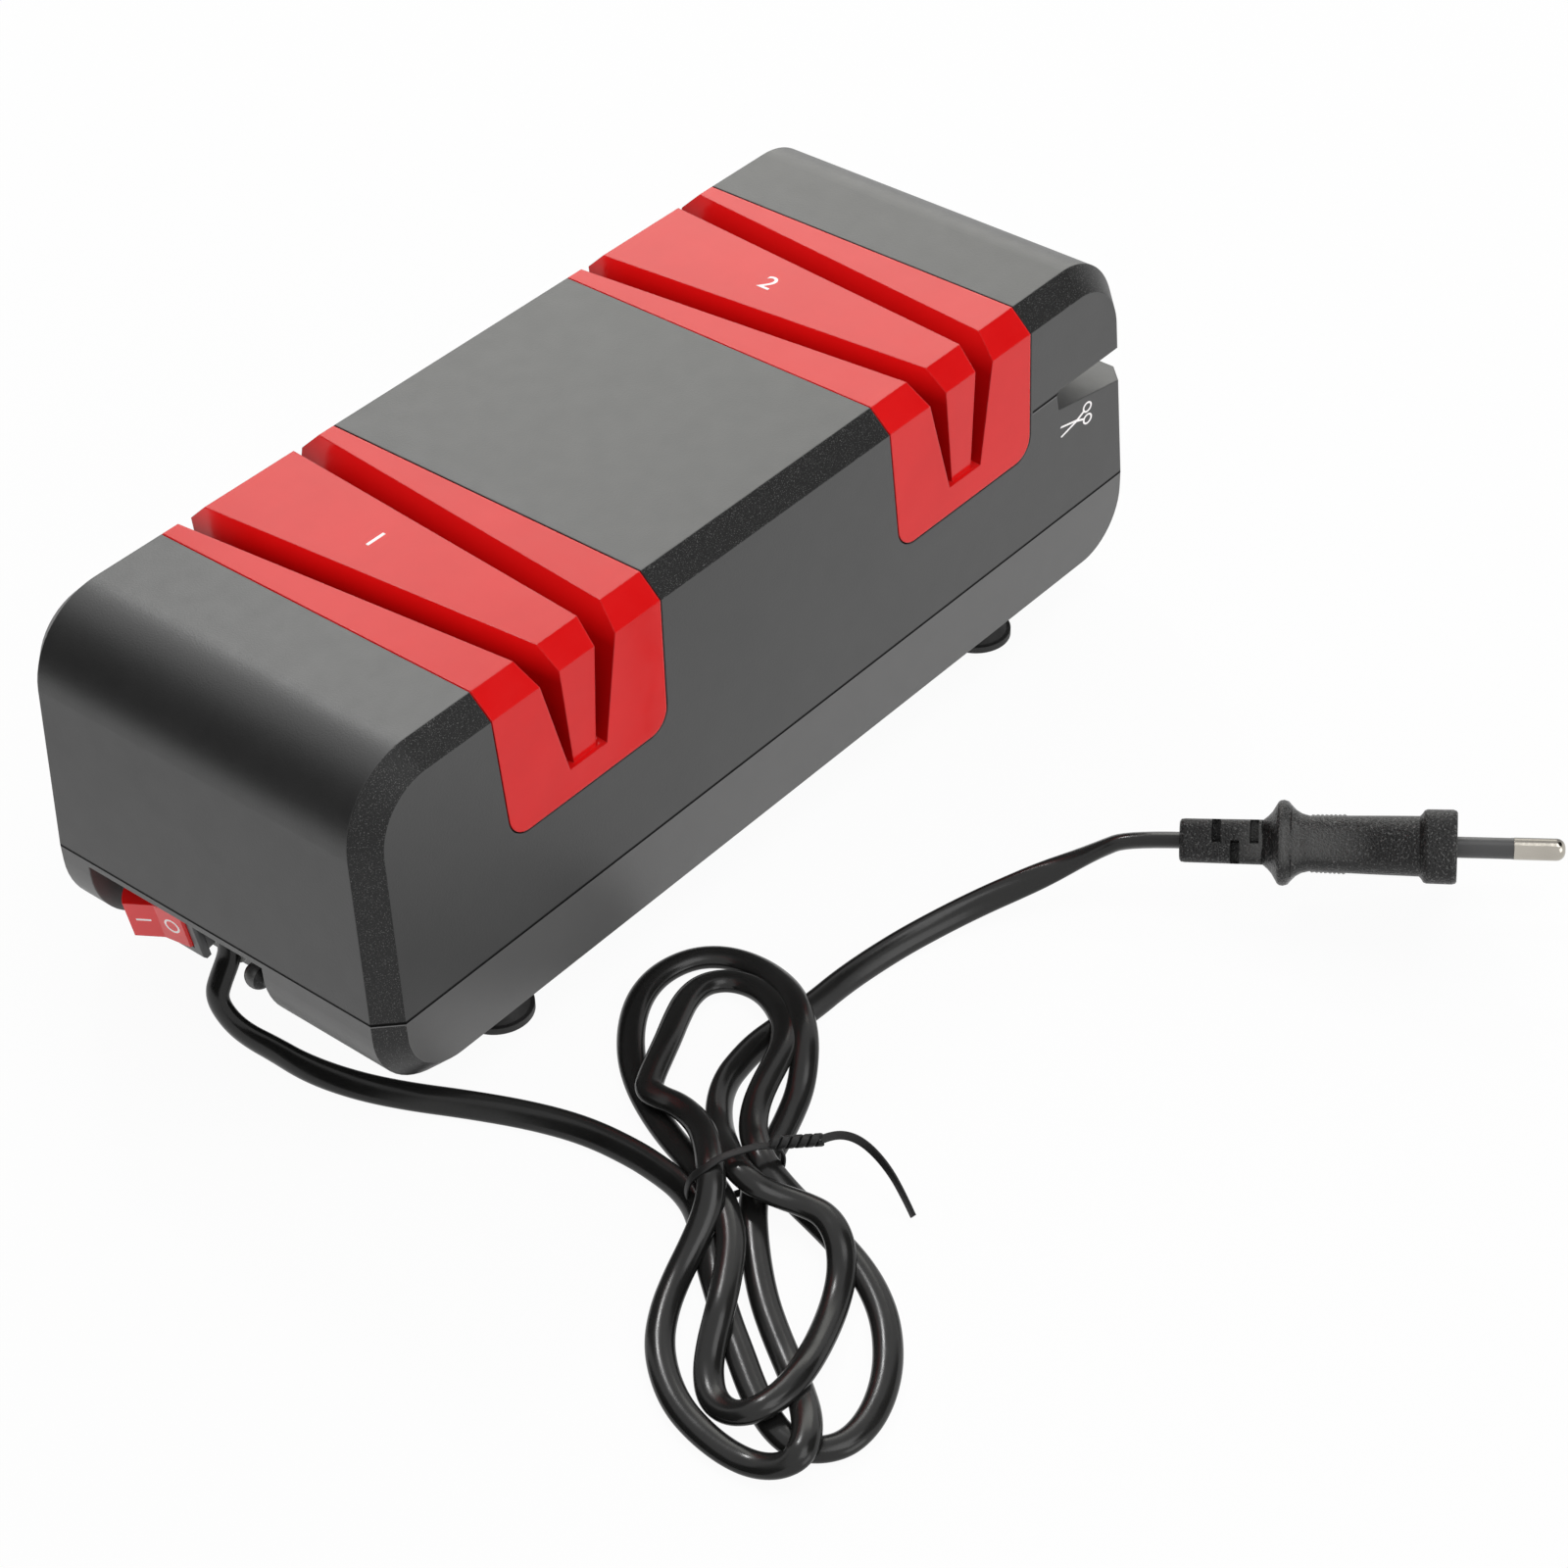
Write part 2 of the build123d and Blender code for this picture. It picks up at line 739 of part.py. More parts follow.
fan = rod_x(fan_hub_radius, fan_x, fan_x + fan_thick)
fan += rod_x(fan_radius, fan_x, fan_x + fan_plate)
for i in range(fan_blades):
    blade = block(fan_x, fan_x + fan_thick, fan_hub_radius - 1, fan_radius - 0.3, -0.6, 0.6)
    fan += Pos(0, 0, shaft_z) * Rot(360 / fan_blades * i, 0, 0) * blade
fan -= rod_x(shaft_radius + grip, fan_x - 1, fan_x + fan_thick + 1)
save("cooling_fan", fan)

# motor
can = rod_x(can_radius, can_left_x, can_right_x)
can -= rod_x(can_radius - can_wall, can_left_x + 2.0, can_right_x + 1)
can += rod_x(boss_radius, can_left_x - boss_length, can_left_x)
can -= rod_x(shaft_radius + fit, can_left_x - boss_length - 1, can_left_x + 3)
save("motor_can", can)

brush_low = commutator_radius + brush_gap
brush_high = brush_low + brush_length
brush_x = commutator_left_x + 1.0
brush_end_x = commutator_left_x + commutator_length - 1.0
end_cap = rod_x(can_radius, can_right_x, can_right_x + cap_thick)
end_cap += rod_x(boss_radius, can_right_x + cap_thick, can_right_x + cap_thick + boss_length)
end_cap -= rod_x(shaft_radius + fit, can_right_x - 1, can_right_x + cap_thick + boss_length + 1)
brushes = []
for sy in (-1, 1):
    inner = sy * brush_high
    outer = sy * (brush_high + 3)
    arm_z = (shaft_z - 3.5, shaft_z + 3.5)
    end_cap += block(brush_x, can_right_x + 1, min(inner, outer), max(inner, outer), *arm_z)
    low = min(sy * brush_low, inner)
    high = max(sy * brush_low, inner)
    brushes.append(block(brush_x, brush_end_x, low, high, shaft_z - 2.5, shaft_z + 2.5))
save("motor_end_cap", end_cap)
save("motor_brushes", Compound(children=brushes))

magnet = rod_x(can_radius - can_wall, core_left_x - 1, core_right_x + 1)
magnet -= rod_x(magnet_inner, core_left_x - 2, core_right_x + 2)
magnet -= block(core_left_x - 2, core_right_x + 2, -30, 30, shaft_z - 5, shaft_z + 5)
save("motor_magnets", magnet)

core = rod_x(core_radius, core_left_x, core_right_x)
for i in range(core_slots):
    groove = block(core_left_x - 1, core_right_x + 1, core_radius - 8, core_radius + 1, -1, 1)
    core -= Pos(0, 0, shaft_z) * Rot(360 / core_slots * i, 0, 0) * groove
core -= rod_x(shaft_radius + grip, core_left_x - 1, core_right_x + 1)
save("rotor_core", core)
commutator_right_x = commutator_left_x + commutator_length
commutator = rod_x(commutator_radius, commutator_left_x, commutator_right_x)
commutator -= rod_x(shaft_radius + grip, commutator_left_x - 1, commutator_right_x + 1)
save("commutator", commutator)

strap_screws = []
strap_names = {-1: "motor_strap_rear", 1: "motor_strap_front"}
strap_outer = can_radius + strap_thick
for sx in (-1, 1):
    x = sx * cradle_x
    half = cradle_thick / 2
    strap = rod_x(strap_outer, x - half, x + half)
    strap &= block(x - half, x + half, -30, 30, shaft_z, shaft_z + 30)
    strap += block(x - half, x + half, -cradle_half, cradle_half, shaft_z, shaft_z + strap_thick)
    strap -= rod_x(can_radius + fit, x - half - 1, x + half + 1)
    for sy in (-1, 1):
        y = sy * strap_screw_y
        strap -= rod_z(small_screw_radius + fit, shaft_z - 1, shaft_z + 5, x, y)
        strap_screws.append(Pos(x, y, 0) * small_screw(shaft_z + strap_thick, 1))
    save(strap_names[sx], strap)
save("strap_screws", Compound(children=strap_screws))

# outboard bearings
bearing_screws = []
for name, x in (("left", left_bearing_x), ("right", right_bearing_x)):
    low = x - bearing_length / 2
    high = x + bearing_length / 2
    bearing = rod_x(bearing_radius, low, high)
    bearing -= rod_x(shaft_radius + fit, low - 1, high + 1)
    save(f"{name}_bearing", bearing)
    half = post_thick / 2
    cap = rod_x(cap_boss_radius, x - half, x + half)
    cap &= block(x - half, x + half, -30, 30, shaft_z, shaft_z + 30)
    cap += block(x - half, x + half, -post_half, post_half, shaft_z, shaft_z + cap_height)
    cap -= rod_x(bearing_radius + fit, x - half - 1, x + half + 1)
    for sy in (-1, 1):
        y = sy * bearing_screw_y
        cap -= rod_z(small_screw_radius + fit, shaft_z - 1, shaft_z + 6, x, y)
        bearing_screws.append(Pos(x, y, 0) * small_screw(shaft_z + cap_height, 1))
    save(f"{name}_bearing_cap", cap)
save("bearing_screws", Compound(children=bearing_screws))

# board under the motor
board_top = board_z + board_thick
board = block(
    -board_length / 2, board_length / 2, -board_width / 2, board_width / 2, board_z, board_top
)
board_screws = []
for sx in (-1, 1):
    for sy in (-1, 1):
        x = sx * board_screw_x
        y = sy * board_screw_y
        board -= rod_z(board_screw_radius + fit, board_z - 1, board_top + 1, x, y)
        screw = rod_z(1.9, board_top, board_top + 1.4, x, y)
        screw += rod_z(board_screw_radius, board_z - 1.6, board_top, x, y)
        board_screws.append(screw)
save("rectifier_board", board)
save("board_screws", Compound(children=board_screws))
save("bridge_rectifier", block(-8, -2, -6.5, 0.5, board_top, board_top + 3.6))
save("capacitor", rod_x(2.6, 0.5, 8.5, -3.5, board_top + 2.6))

# cord clamp
clamp = block(
    clamp_low_x,
    clamp_high_x,
    cord_y - clamp_half,
    cord_y + clamp_half,
    cord_z + clamp_gap / 2,
    clamp_top_z,
)
clamp -= rod_x(cord_radius + fit, clamp_low_x - 1, clamp_high_x + 1, cord_y, cord_z)
clamp_screws = []
for sy in (-1, 1):
    y = cord_y + sy * clamp_screw_y
    clamp -= rod_z(small_screw_radius + fit, cord_z - 1, clamp_top_z + 1, clamp_mid_x, y)
    clamp_screws.append(Pos(clamp_mid_x, y, 0) * small_screw(clamp_top_z, 1))
save("cord_clamp", clamp)
save("clamp_screws", Compound(children=clamp_screws))

# bush around the cord's exit, ribbed outside the recess wall
bush_inner_x = recess_back_x + recess_wall
bush = rod_x(bush_neck_radius, cord_exit_x, bush_inner_x + bush_flange_thick, cord_y, cord_z)
bush += rod_x(
    bush_flange_radius, bush_inner_x, bush_inner_x + bush_flange_thick, cord_y, cord_z
)
rib_x = cord_exit_x
while rib_x + rib_width < recess_back_x + 0.4:
    bush += rod_x(bush_radius, rib_x, rib_x + rib_width, cord_y, cord_z)
    rib_x += 1.7 * rib_width
bush -= rod_x(cord_radius + fit, cord_exit_x - 1, bush_inner_x + 5, cord_y, cord_z)
save("cord_bush", bush)
save("cord_tail", rod_x(cord_radius, cord_exit_x, cord_inner_x, cord_y, cord_z))

# wires inside
terminal_back = frame_back - terminal_length
wire_run = 4.0


def tab_points(offset):
    points = []
    for depth in (terminal_back, terminal_back - wire_run):
        spot = (switch_at * Pos(offset, 0, depth)).position
        points.append((spot.X, spot.Y, spot.Z))
    return points


wire_z = board_top + wire_radius + 0.1
wires = {
    "live_wire": [
        *tab_points(-terminal_offset),
        (-77.8, 17.2, 22.4),
        (-76.4, 9.8, 21.0),
        (cord_inner_x + wire_run, cord_y + 1.1, cord_z),
        (cord_inner_x, cord_y + 1.1, cord_z),
    ],
    "switch_wire": [
        *tab_points(terminal_offset),
        (-79.4, 15.4, 17.2),
        (-77.0, 17.8, 13.4),
        (-70.0, 18.6, 11.8),
        (-61.0, 15.5, 11.5),
        (-40.0, 6.2, 11.6),
        (-26.0, 4.2, 12.6),
        (-13.0, 4.0, wire_z),
    ],
    "neutral_wire": [
        (cord_inner_x, cord_y - 1.1, cord_z),
        (cord_inner_x + wire_run, cord_y - 1.1, cord_z),
        (-76.2, -4.0, 16.4),
        (-76.4, -12.0, 14.2),
        (-73.0, -17.4, 12.4),
        (-64.0, -16.0, 11.5),
        (-40.0, -6.4, 11.6),
        (-26.0, -4.3, 12.6),
        (-13.0, -4.0, wire_z),
    ],
}
for name, points in wires.items():
    wire, radii, length = tube(points, wire_radius)
    save(name, wire)
motor_leads = []
lead_board_y = 4.0
lead_low_x = 24.0
lead_low_y = 4.2
lead_low_z = 13.4
lead_turn_x = 31.4
lead_turn_y = 5.4
lead_turn_z = 14.9
lead_up_x = 32.9
lead_up_y = 8.6
lead_up_z = 19.2
lead_motor_y = 11.6
lead_motor_z = 25.0
for sy in (-1, 1):
    points = [
        (board_screw_x, sy * lead_board_y, wire_z),
        (lead_low_x, sy * lead_low_y, lead_low_z),
        (lead_turn_x, sy * lead_turn_y, lead_turn_z),
        (lead_up_x, sy * lead_up_y, lead_up_z),
        (lead_up_x, sy * lead_motor_y, lead_motor_z),
        (can_right_x + cap_thick, sy * lead_motor_y, lead_motor_z),
    ]
    lead, radii, length = tube(points, wire_radius)
    motor_leads.append(lead)
save("motor_leads", Compound(children=motor_leads))

# power cord: lead-in from the bush to the bundle, and lead-out to the plug
lead_in_points = [
    (-101.4, 3.2, 18.9),
    (-105.4, 3.2, 18.9),
    (-108.2, 2.2, 15.6),
    (-108.4, 0.8, 10.8),
    (-107.8, -2.6, 7.0),
    (-106.9, -7.4, 4.4),
    (-105.3, -11.2, 2.9),
    (-104.6, -19.3, 2.5),
    (-102.5, -28.9, 2.5),
    (-98.4, -38.2, 2.5),
    (-93.9, -46.9, 2.5),
    (-89.0, -58.0, 2.5),
    (-86.2, -67.7, 2.5),
    (-85.3, -77.4, 2.5),
    (-86.0, -86.0, 2.5),
    (-88.5, -93.0, 2.5),
]
lead_out_points = [
    (-46.5, -77.5, 2.6),
    (-36.6, -78.4, 2.5),
    (-25.5, -78.7, 2.6),
    (-14.9, -80.5, 2.9),
    (-5.9, -83.3, 3.7),
    (2.0, -86.7, 4.9),
    (9.0, -90.8, 6.7),
    (15.2, -95.2, 8.8),
    (19.7, -99.6, 11.2),
    (23.27, -103.13, 13.91),
    plug_rear,
]
for name, points in (("cord_lead_in", lead_in_points), ("cord_lead_out", lead_out_points)):
    cord, radii, length = tube(points, cord_radius)
    section = math.pi * cord_radius**2
    print(name, "radii", [round(radius, 1) for radius in radii], "length", round(length, 1))
    print(name, "volume", round(cord.volume, 1), "section x length", round(section * length, 1))
    save(name, cord)

# bundle of the cord's loops: one solid of the figure-eight's outer shape
tie_at = Plane(origin=(-86.0, -97.5, 0), x_dir=(0.976, 0.216, 0), z_dir=(0, 0, 1))
bundle_low = 1.4
bundle_high = 9.4
neck_half = 10.2
bundle_points = [
    (-95.6, -101.3),
    (-101.5, -103.5),
    (-116.0, -110.2),
    (-126.5, -119.5),
    (-129.6, -133.0),
    (-127.0, -142.5),
    (-114.0, -149.2),
    (-104.5, -149.6),
    (-92.0, -143.0),
    (-81.5, -131.5),
    (-74.0, -118.0),
    (-71.2, -105.0),
    (-75.7, -96.9),
    (-76.4, -93.7),
    (-62.0, -93.0),
    (-42.5, -83.0),
    (-33.6, -70.0),
    (-33.4, -57.8),
    (-41.6, -49.7),
    (-53.6, -49.3),
    (-66.0, -56.0),
    (-77.0, -68.5),
    (-81.5, -80.0),
    (-84.0, -88.6),
    (-92.0, -92.4),
    (-96.3, -98.1),
]
bundle = extrude(make_face(Polyline(*bundle_points, close=True)), bundle_high - bundle_low)
save("cord_bundle", Pos(0, 0, bundle_low) * bundle)

# twist tie: band round the neck of the bundle, a knot and one free end
band_thick = 1.0
band_half = 1.2
tie_room = 0.4
band_side = neck_half + tie_room
band_length = 2 * (band_side + band_thick)
band_height = bundle_high - bundle_low + 2 * band_thick
band_mid_z = (bundle_low + bundle_high) / 2
band = Pos(0, 0, band_mid_z) * Box(band_length, 2 * band_half, band_height)
band -= Pos(0, 0, band_mid_z) * Box(2 * band_side, 4 * band_half, bundle_high - bundle_low)
tail_points = [
    (-74.9, -95.2, 9.4),
    (-64.7, -107.8, 9.2),
    (-63.5, -111.0, 7.6),
    (-64.3, -116.6, 5.6),
    (-65.3, -120.5, 3.4),
    (-66.9, -124.2, 1.6),
]
tie_tail, radii, length = tube(tail_points, 0.9)
save("twist_tie", tie_at.location * band + tie_tail)

# flat plug: tapered strain relief, flared rear, waisted grip and a thick face
plug_plane = Plane(
    origin=plug_rear, x_dir=plug_wide, z_dir=plug_axis
)
plug_at = plug_plane.location


def plug_section(width, thick, along):
    corner = 0.3 * min(width, thick)
    return Pos(0, 0, along) * RectangleRounded(width, thick, corner)


face_s = relief_length + plug_body_length
plug_sections = [
    (8.0, 6.2, 0.0),
    (9.6, 7.3, relief_length - 3.0),
    (11.0, 8.0, relief_length),
    (21.0, 14.6, relief_length + 3.0),
    (23.0, 10.4, relief_length + 7.0),
    (30.0, 10.0, face_s - 9.0),
    (plug_width, plug_thick, face_s - 7.0),
    (plug_width, plug_thick, face_s),
]
plug = None
for first, second in zip(plug_sections, plug_sections[1:]):
    span = loft([plug_section(*first), plug_section(*second)], ruled=True)
    plug = span if plug is None else plug + span
pins = []
sleeves = []
for sx in (-1, 1):
    x = sx * pin_spacing / 2
    core_low = face_s - pin_root
    core_mid = face_s + sleeve_length
    pin_hole = Pos(x, 0, (core_low + face_s + 1) / 2) * Cylinder(sleeve_radius, pin_root + 1)
    plug -= pin_hole
    pin = Pos(x, 0, (core_low + core_mid) / 2) * Cylinder(pin_core_radius, core_mid - core_low)
    tip_length = pin_length - sleeve_length
    tip = Pos(x, 0, core_mid + tip_length / 2) * Cylinder(pin_radius, tip_length)
    tip = fillet(tip.faces().sort_by(Axis.Z)[-1].edges(), 1.6)
    pins.append(plug_at * (pin + tip))
    sleeve_low = face_s - pin_root
    sleeve = Pos(x, 0, (sleeve_low + core_mid) / 2) * Cylinder(sleeve_radius, core_mid - sleeve_low)
    bore_length = core_mid - sleeve_low + 2
    sleeve -= Pos(x, 0, (sleeve_low + core_mid) / 2) * Cylinder(pin_core_radius, bore_length)
    sleeves.append(plug_at * sleeve)
save("plug_body", plug_at * plug)
save("plug_pins", Compound(children=pins))
save("pin_sleeves", Compound(children=sleeves))
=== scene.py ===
import json
import math

import bmesh
import bpy
from mathutils import Matrix, Vector


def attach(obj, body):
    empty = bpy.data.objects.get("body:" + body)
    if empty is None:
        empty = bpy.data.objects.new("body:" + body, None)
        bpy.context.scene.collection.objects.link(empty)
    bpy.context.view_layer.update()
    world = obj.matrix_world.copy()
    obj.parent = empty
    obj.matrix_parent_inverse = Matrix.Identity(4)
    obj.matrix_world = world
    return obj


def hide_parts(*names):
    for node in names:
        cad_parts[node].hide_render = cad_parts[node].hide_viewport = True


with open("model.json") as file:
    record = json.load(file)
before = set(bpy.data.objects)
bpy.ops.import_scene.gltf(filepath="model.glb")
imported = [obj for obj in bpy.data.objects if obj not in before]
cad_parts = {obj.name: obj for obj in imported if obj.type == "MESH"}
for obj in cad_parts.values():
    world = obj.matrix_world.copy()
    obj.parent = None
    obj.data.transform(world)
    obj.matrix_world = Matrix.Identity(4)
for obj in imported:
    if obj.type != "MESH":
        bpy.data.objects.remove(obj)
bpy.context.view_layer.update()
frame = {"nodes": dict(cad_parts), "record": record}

cadNodes = frame["nodes"]
mm = 0.001
print("frame loaded,", len(cadNodes), "nodes")

# camera: three-quarter view from above the switch end
cameraSet = {
    "place": (-0.41787, -0.40786, 0.46434),
    "azimuth": -48.6823,
    "height": 39.1829,
    "roll": -2.4361,
    "lens": 87.32,
    "sensor": 36,
}


def makeCamera(look):
    azimuth = math.radians(look["azimuth"])
    height = math.radians(look["height"])
    roll = math.radians(look["roll"])
    toCamera = Vector(
        (math.sin(azimuth) * math.cos(height), -math.cos(azimuth) * math.cos(height), math.sin(height))
    )
    right = Vector((math.cos(azimuth), math.sin(azimuth), 0))
    up = toCamera.cross(right)
    rolledRight = right * math.cos(roll) + up * math.sin(roll)
    rolledUp = up * math.cos(roll) - right * math.sin(roll)
    data = bpy.data.cameras.new("camera")
    data.lens = look["lens"]
    data.sensor_width = look["sensor"]
    camera = bpy.data.objects.new("camera", data)
    turn = Matrix((rolledRight, rolledUp, toCamera)).transposed().to_4x4()
    camera.matrix_world = Matrix.Translation(look["place"]) @ turn
    bpy.context.scene.collection.objects.link(camera)
    bpy.context.scene.camera = camera


makeCamera(cameraSet)
bpy.context.scene.view_settings.view_transform = "Standard"
print("camera placed")


# mesh helpers, all in millimetres until the mesh is made
def meshPiece(name, form, smooth=0):
    bmesh.ops.recalc_face_normals(form, faces=form.faces)
    data = bpy.data.meshes.new(name)
    form.to_mesh(data)
    form.free()
    data.transform(Matrix.Scale(mm, 4))
    if smooth:
        data.shade_smooth()
        data.set_sharp_from_angle(angle=math.radians(smooth))
    piece = bpy.data.objects.new(name, data)
    bpy.context.scene.collection.objects.link(piece)
    return piece


def roundedOutline(width, thick, corner, steps, sides):
    points = []
    halfWide, halfThick = width / 2 - corner, thick / 2 - corner
    centres = [(halfWide, halfThick), (-halfWide, halfThick), (-halfWide, -halfThick), (halfWide, -halfThick)]
    for i, (x, y) in enumerate(centres):
        for j in range(steps + 1):
            angle = math.radians(90 * i + 90 * j / steps)
            points.append((x + corner * math.cos(angle), y + corner * math.sin(angle)))
        nextX, nextY = centres[(i + 1) % 4]
        angle = math.radians(90 * i + 90)
        start = points[-1]
        end = (nextX + corner * math.cos(angle), nextY + corner * math.sin(angle))
        for j in range(1, sides):
            share = j / sides
            points.append((start[0] + (end[0] - start[0]) * share, start[1] + (end[1] - start[1]) * share))
    return points


def ovalOutline(width, thick, fullness, count):
    points = []
    for i in range(count):
        angle = 2 * math.pi * i / count
        c, s = math.cos(angle), math.sin(angle)
        x = math.copysign(abs(c) ** (2 / fullness), c) * width / 2
        y = math.copysign(abs(s) ** (2 / fullness), s) * thick / 2
        points.append((x, y))
    return points


def ringPath(points, steps):
    # a smooth closed line through the points
    ring = [Vector(point) for point in points]
    count = len(ring)
    path = []
    for i in range(count):
        a, b, c, d = ring[i - 1], ring[i], ring[(i + 1) % count], ring[(i + 2) % count]
        bend, swing = 2 * a - 5 * b + 4 * c - d, 3 * b - a - 3 * c + d
        for j in range(steps):
            t = j / steps
            path.append(0.5 * (2 * b + (c - a) * t + bend * t * t + swing * t**3))
    return path


def splinePath(name, points, steps):
    # a smooth open line that the points pull on
    curve = bpy.data.curves.new(name, "CURVE")
    curve.dimensions = "3D"
    curve.resolution_u = steps
    spline = curve.splines.new("NURBS")
    spline.points.add(len(points) - 1)
    for i, point in enumerate(points):
        spline.points[i].co = (*point, 1)
    spline.order_u = 3
    spline.use_endpoint_u = True
    holder = bpy.data.objects.new(name, curve)
    line = bpy.data.meshes.new_from_object(holder)
    path = [vertex.co.copy() for vertex in line.vertices]
    bpy.data.objects.remove(holder)
    bpy.data.meshes.remove(line)
    return path


def sweep(name, path, wides, outlines, smooth, closed=False):
    # the outlines stand square to the path, with their width along wides
    form = bmesh.new()
    rings = []
    last = len(path) - 1
    for i, point in enumerate(path):
        if closed:
            ahead = path[(i + 1) % len(path)] - path[i - 1]
        else:
            ahead = path[min(i + 1, last)] - path[max(i - 1, 0)]
        ahead.normalize()
        wide = wides[i] - ahead * wides[i].dot(ahead)
        wide.normalize()
        thick = ahead.cross(wide)
        outline = outlines[i] if len(outlines) > 1 else outlines[0]
        rings.append([form.verts.new(point + wide * a + thick * b) for a, b in outline])
    pairs = list(zip(rings, rings[1:])) + ([(rings[-1], rings[0])] if closed else [])
    for first, second in pairs:
        for j in range(len(first)):
            k = (j + 1) % len(first)
            form.faces.new((first[j], first[k], second[k], second[j]))
    if not closed:
        form.faces.new(rings[0][::-1])
        form.faces.new(rings[-1])
    return meshPiece(name, form, smooth)


